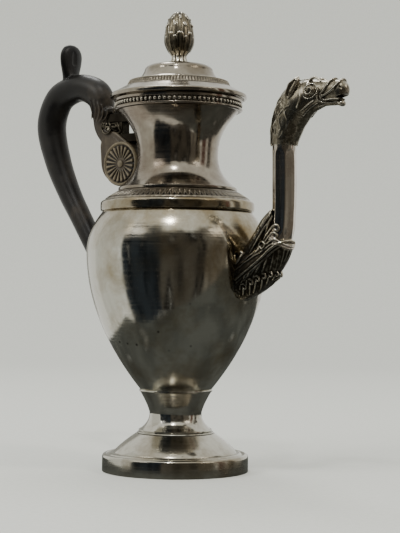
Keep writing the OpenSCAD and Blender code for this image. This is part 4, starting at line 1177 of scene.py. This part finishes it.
DISTANCE, EYE_HEIGHT = 0.922, 0.1134
FOCAL, FRAME_H, RIGHT_OF_AXIS, ABOVE_EYE = 1415, 533, 23, 29.5  # in pixels of the frame
SENSOR = 36  # mm
ROLL = math.radians(0.55)
stand = math.radians(41)
camera = as_object("camera", bpy.data.cameras.new("camera"))
camera.data.sensor_width, camera.data.lens = SENSOR, FOCAL / FRAME_H * SENSOR
yaw, pitch = math.atan(RIGHT_OF_AXIS / FOCAL), math.atan(ABOVE_EYE / FOCAL)
aim = Matrix.Rotation(stand, 4, "Z") @ Matrix.Rotation(-yaw, 4, "Z")
aim = aim @ Matrix.Rotation(math.pi / 2 + pitch, 4, "X") @ Matrix.Rotation(ROLL, 4, "Z")
camera.matrix_world = Matrix.Translation(
    (DISTANCE * math.sin(stand), -DISTANCE * math.cos(stand), EYE_HEIGHT)
) @ aim
bpy.context.scene.camera = camera

# ---- Floor, walls and light --------------------------------------------------------------
# A pale floor that curves up into a round wall, soft window light from both sides, and
# cards that only reflections see, because polished silver shows what stands round it:
# a dark table top, dark and streaky shapes in front, and pale walls to the left and behind.


def staged(name, form, material):
    mesh = as_mesh(form, name)
    mesh.shade_smooth()
    mesh.materials.append(material)
    made = as_object(name, mesh)
    return made


paper, shader, place = blank("matt_pale_paper")
fibre = add(paper, "TexNoise", {"Vector": place}, {"Scale": 300, "Detail": 4}).outputs["Fac"]
tint = add(paper, "ValToRGB", {0: fibre}, stops=[(0.3, "#D4D6D1"), (0.7, "#DADCD7")]).outputs[0]
paper.node_tree.links.new(tint, shader.inputs["Base Color"])
shader.inputs["Roughness"].default_value = 1
shader.inputs["Specular IOR Level"].default_value = 0
FLAT_R, CURVE_R, ROOM_H = 1400, 900, 3200  # mm
sweep = [(0, 0), (FLAT_R, 0)]
sweep += [(FLAT_R + CURVE_R * math.sin(math.pi / 2 * t),
           CURVE_R - CURVE_R * math.cos(math.pi / 2 * t))
          for t in steps(16)[1:]]
sweep_form = bmesh.new()
line = [sweep_form.verts.new((r * MM, 0, z * MM)) for r, z in sweep + [(FLAT_R + CURVE_R, ROOM_H)]]
edges = [sweep_form.edges.new(pair) for pair in zip(line, line[1:])]
bmesh.ops.spin(sweep_form, geom=line + edges, cent=(0, 0, 0), axis=(0, 0, 1), angle=math.tau,
               steps=64, use_merge=True)
bmesh.ops.remove_doubles(sweep_form, verts=sweep_form.verts, dist=0.0001)
bmesh.ops.recalc_face_normals(sweep_form, faces=sweep_form.faces)
bmesh.ops.reverse_faces(sweep_form, faces=sweep_form.faces)
sweep_room = staged("floor", sweep_form, paper)
sweep_room.visible_glossy = False
sweep_room.visible_diffuse = False
sweep_room.visible_shadow = False

world = bpy.data.worlds.new("room")
bpy.context.scene.world = world
world.use_nodes = True
world.node_tree.nodes["Background"].inputs["Color"].default_value = colour("#E4E4DE")
world.node_tree.nodes["Background"].inputs["Strength"].default_value = 1.3


def seen_in_silver(name, form, code, streak, strength):
    """Something of the room that only reflections show, with soft and uneven edges."""
    material, shader, place = blank(name)
    within = add(material, "Attribute", attribute_name="within").outputs["Fac"]
    upright = add(material, "Mapping", {"Vector": place}, {"Scale": (11, 11, 2.2)}).outputs[0]
    drift = add(material, "TexNoise", {"Vector": upright}, {"Scale": 1, "Detail": 3}).outputs["Fac"]
    rag = add(material, "MapRange", {0: drift}, {1: 0.3, 2: 0.7, 3: -0.45, 4: 0.4}).outputs[0]
    edge = add(material, "Math", {0: within, 1: rag}, operation="ADD").outputs[0]
    tint = add(material, "ValToRGB", {0: drift}, stops=[(0.42, code), (0.58, streak)]).outputs[0]
    cover = add(material, "MapRange", {0: edge}, {1: 0.2, 2: 0.7, 3: 0, 4: 1}).outputs[0]
    material.node_tree.links.new(cover, shader.inputs["Alpha"])
    material.node_tree.links.new(tint, shader.inputs["Emission Color"])
    shader.inputs["Base Color"].default_value = colour("#000000")
    shader.inputs["Specular IOR Level"].default_value = 0
    shader.inputs["Emission Strength"].default_value = strength
    card = staged(name, form, material)
    card.visible_camera = card.visible_shadow = card.visible_diffuse = False


def round_place(angle, distance, height):
    """A place round the pot, with the angle measured from the camera's direction, left positive."""
    a = stand - math.radians(angle)
    return (distance * math.sin(a), -distance * math.cos(a), height)


# (angle from the camera, distance, width, low edge, high edge, colour, streaks, strength)
cards = {
    "card_front": (-4, 0.6, 0.84, -0.5, 0.7, "#2E2C29", "#5C5850", 0.9),
    "card_front_left": (46, 0.5, 0.5, -0.4, 0.74, "#1F2327", "#383E44", 0.8),
    "card_wall_left": (100, 1.2, 1.2, -0.6, 1.4, "#EEEEE6", "#E2E2DA", 1),
    "card_corner": (-47, 1, 0.7, -0.5, 1.25, "#6A655C", "#8A857B", 0.9),
    "card_curtain": (-76, 1.1, 0.3, -0.5, 1.1, "#6A3A2E", "#7E6457", 0.9),
    "card_pillar": (-98, 1.2, 0.34, -0.5, 1.2, "#4A4640", "#787369", 0.9),
    "card_behind": (170, 1.3, 0.9, -0.1, 0.9, "#B9B9B0", "#A9A9A0", 0.9),
}
for name, (angle, distance, width, low, high, code, streak, strength) in cards.items():
    card = bmesh.new()
    within = card.verts.layers.float.new("within")
    bmesh.ops.create_grid(card, x_segments=16, y_segments=16, size=0.5)
    for vert in card.verts:
        vert[within] = min(1, 8 * (0.5 - max(abs(vert.co.x), abs(vert.co.y))))
    seat = Matrix.Translation(round_place(angle, distance, (low + high) / 2))
    seat = seat @ Matrix.Rotation(stand - math.radians(angle), 4, "Z")
    seat = seat @ Matrix.Rotation(math.pi / 2, 4, "X") @ Matrix.Diagonal((width, high - low, 1, 1))
    bmesh.ops.transform(card, matrix=seat, verts=card.verts)
    seen_in_silver(name, card, code, streak, strength)

table = bmesh.new()
within = table.verts.layers.float.new("within")
corners = [(-0.2, -0.7), (-0.2, 0.05), (0, 0.2), (1, 0.5), (1, -0.7)]
right = Vector((math.cos(stand), math.sin(stand), 0))
front = Vector((math.sin(stand), -math.cos(stand), 0))
bmesh.ops.contextual_create(table, geom=[
    table.verts.new(right * r + front * f + Vector((0, 0, -0.0005))) for r, f in corners
])
for vert in table.verts:
    vert[within] = 1.0
seen_in_silver("card_table", table, "#5E605C", "#72746F", 0.72)


def lamp(name, size, place, power, code):
    light = bpy.data.lights.new(name, "AREA")
    light.shape, light.size, light.energy = "DISK", size, power
    light.color = colour(code)[:3]
    way = Vector(place) - Vector((0, 0, 0.15))
    turn = way.to_track_quat("Z", "Y").to_matrix().to_4x4()
    as_object(name, light).matrix_world = Matrix.Translation(place) @ turn


lamp("window_light_left", 0.5, round_place(62, 1.6, 1.3), 11, "#FFFEFA")
lamp("window_light_right", 0.3, round_place(-58, 1.5, 1.25), 7, "#FFF9F0")
lamp("ceiling_light_front", 0.16, round_place(14, 0.9, 1.6), 5, "#FFFFFF")
lamp("ceiling_light_behind", 0.5, round_place(168, 0.9, 1.6), 7, "#FFFFFF")
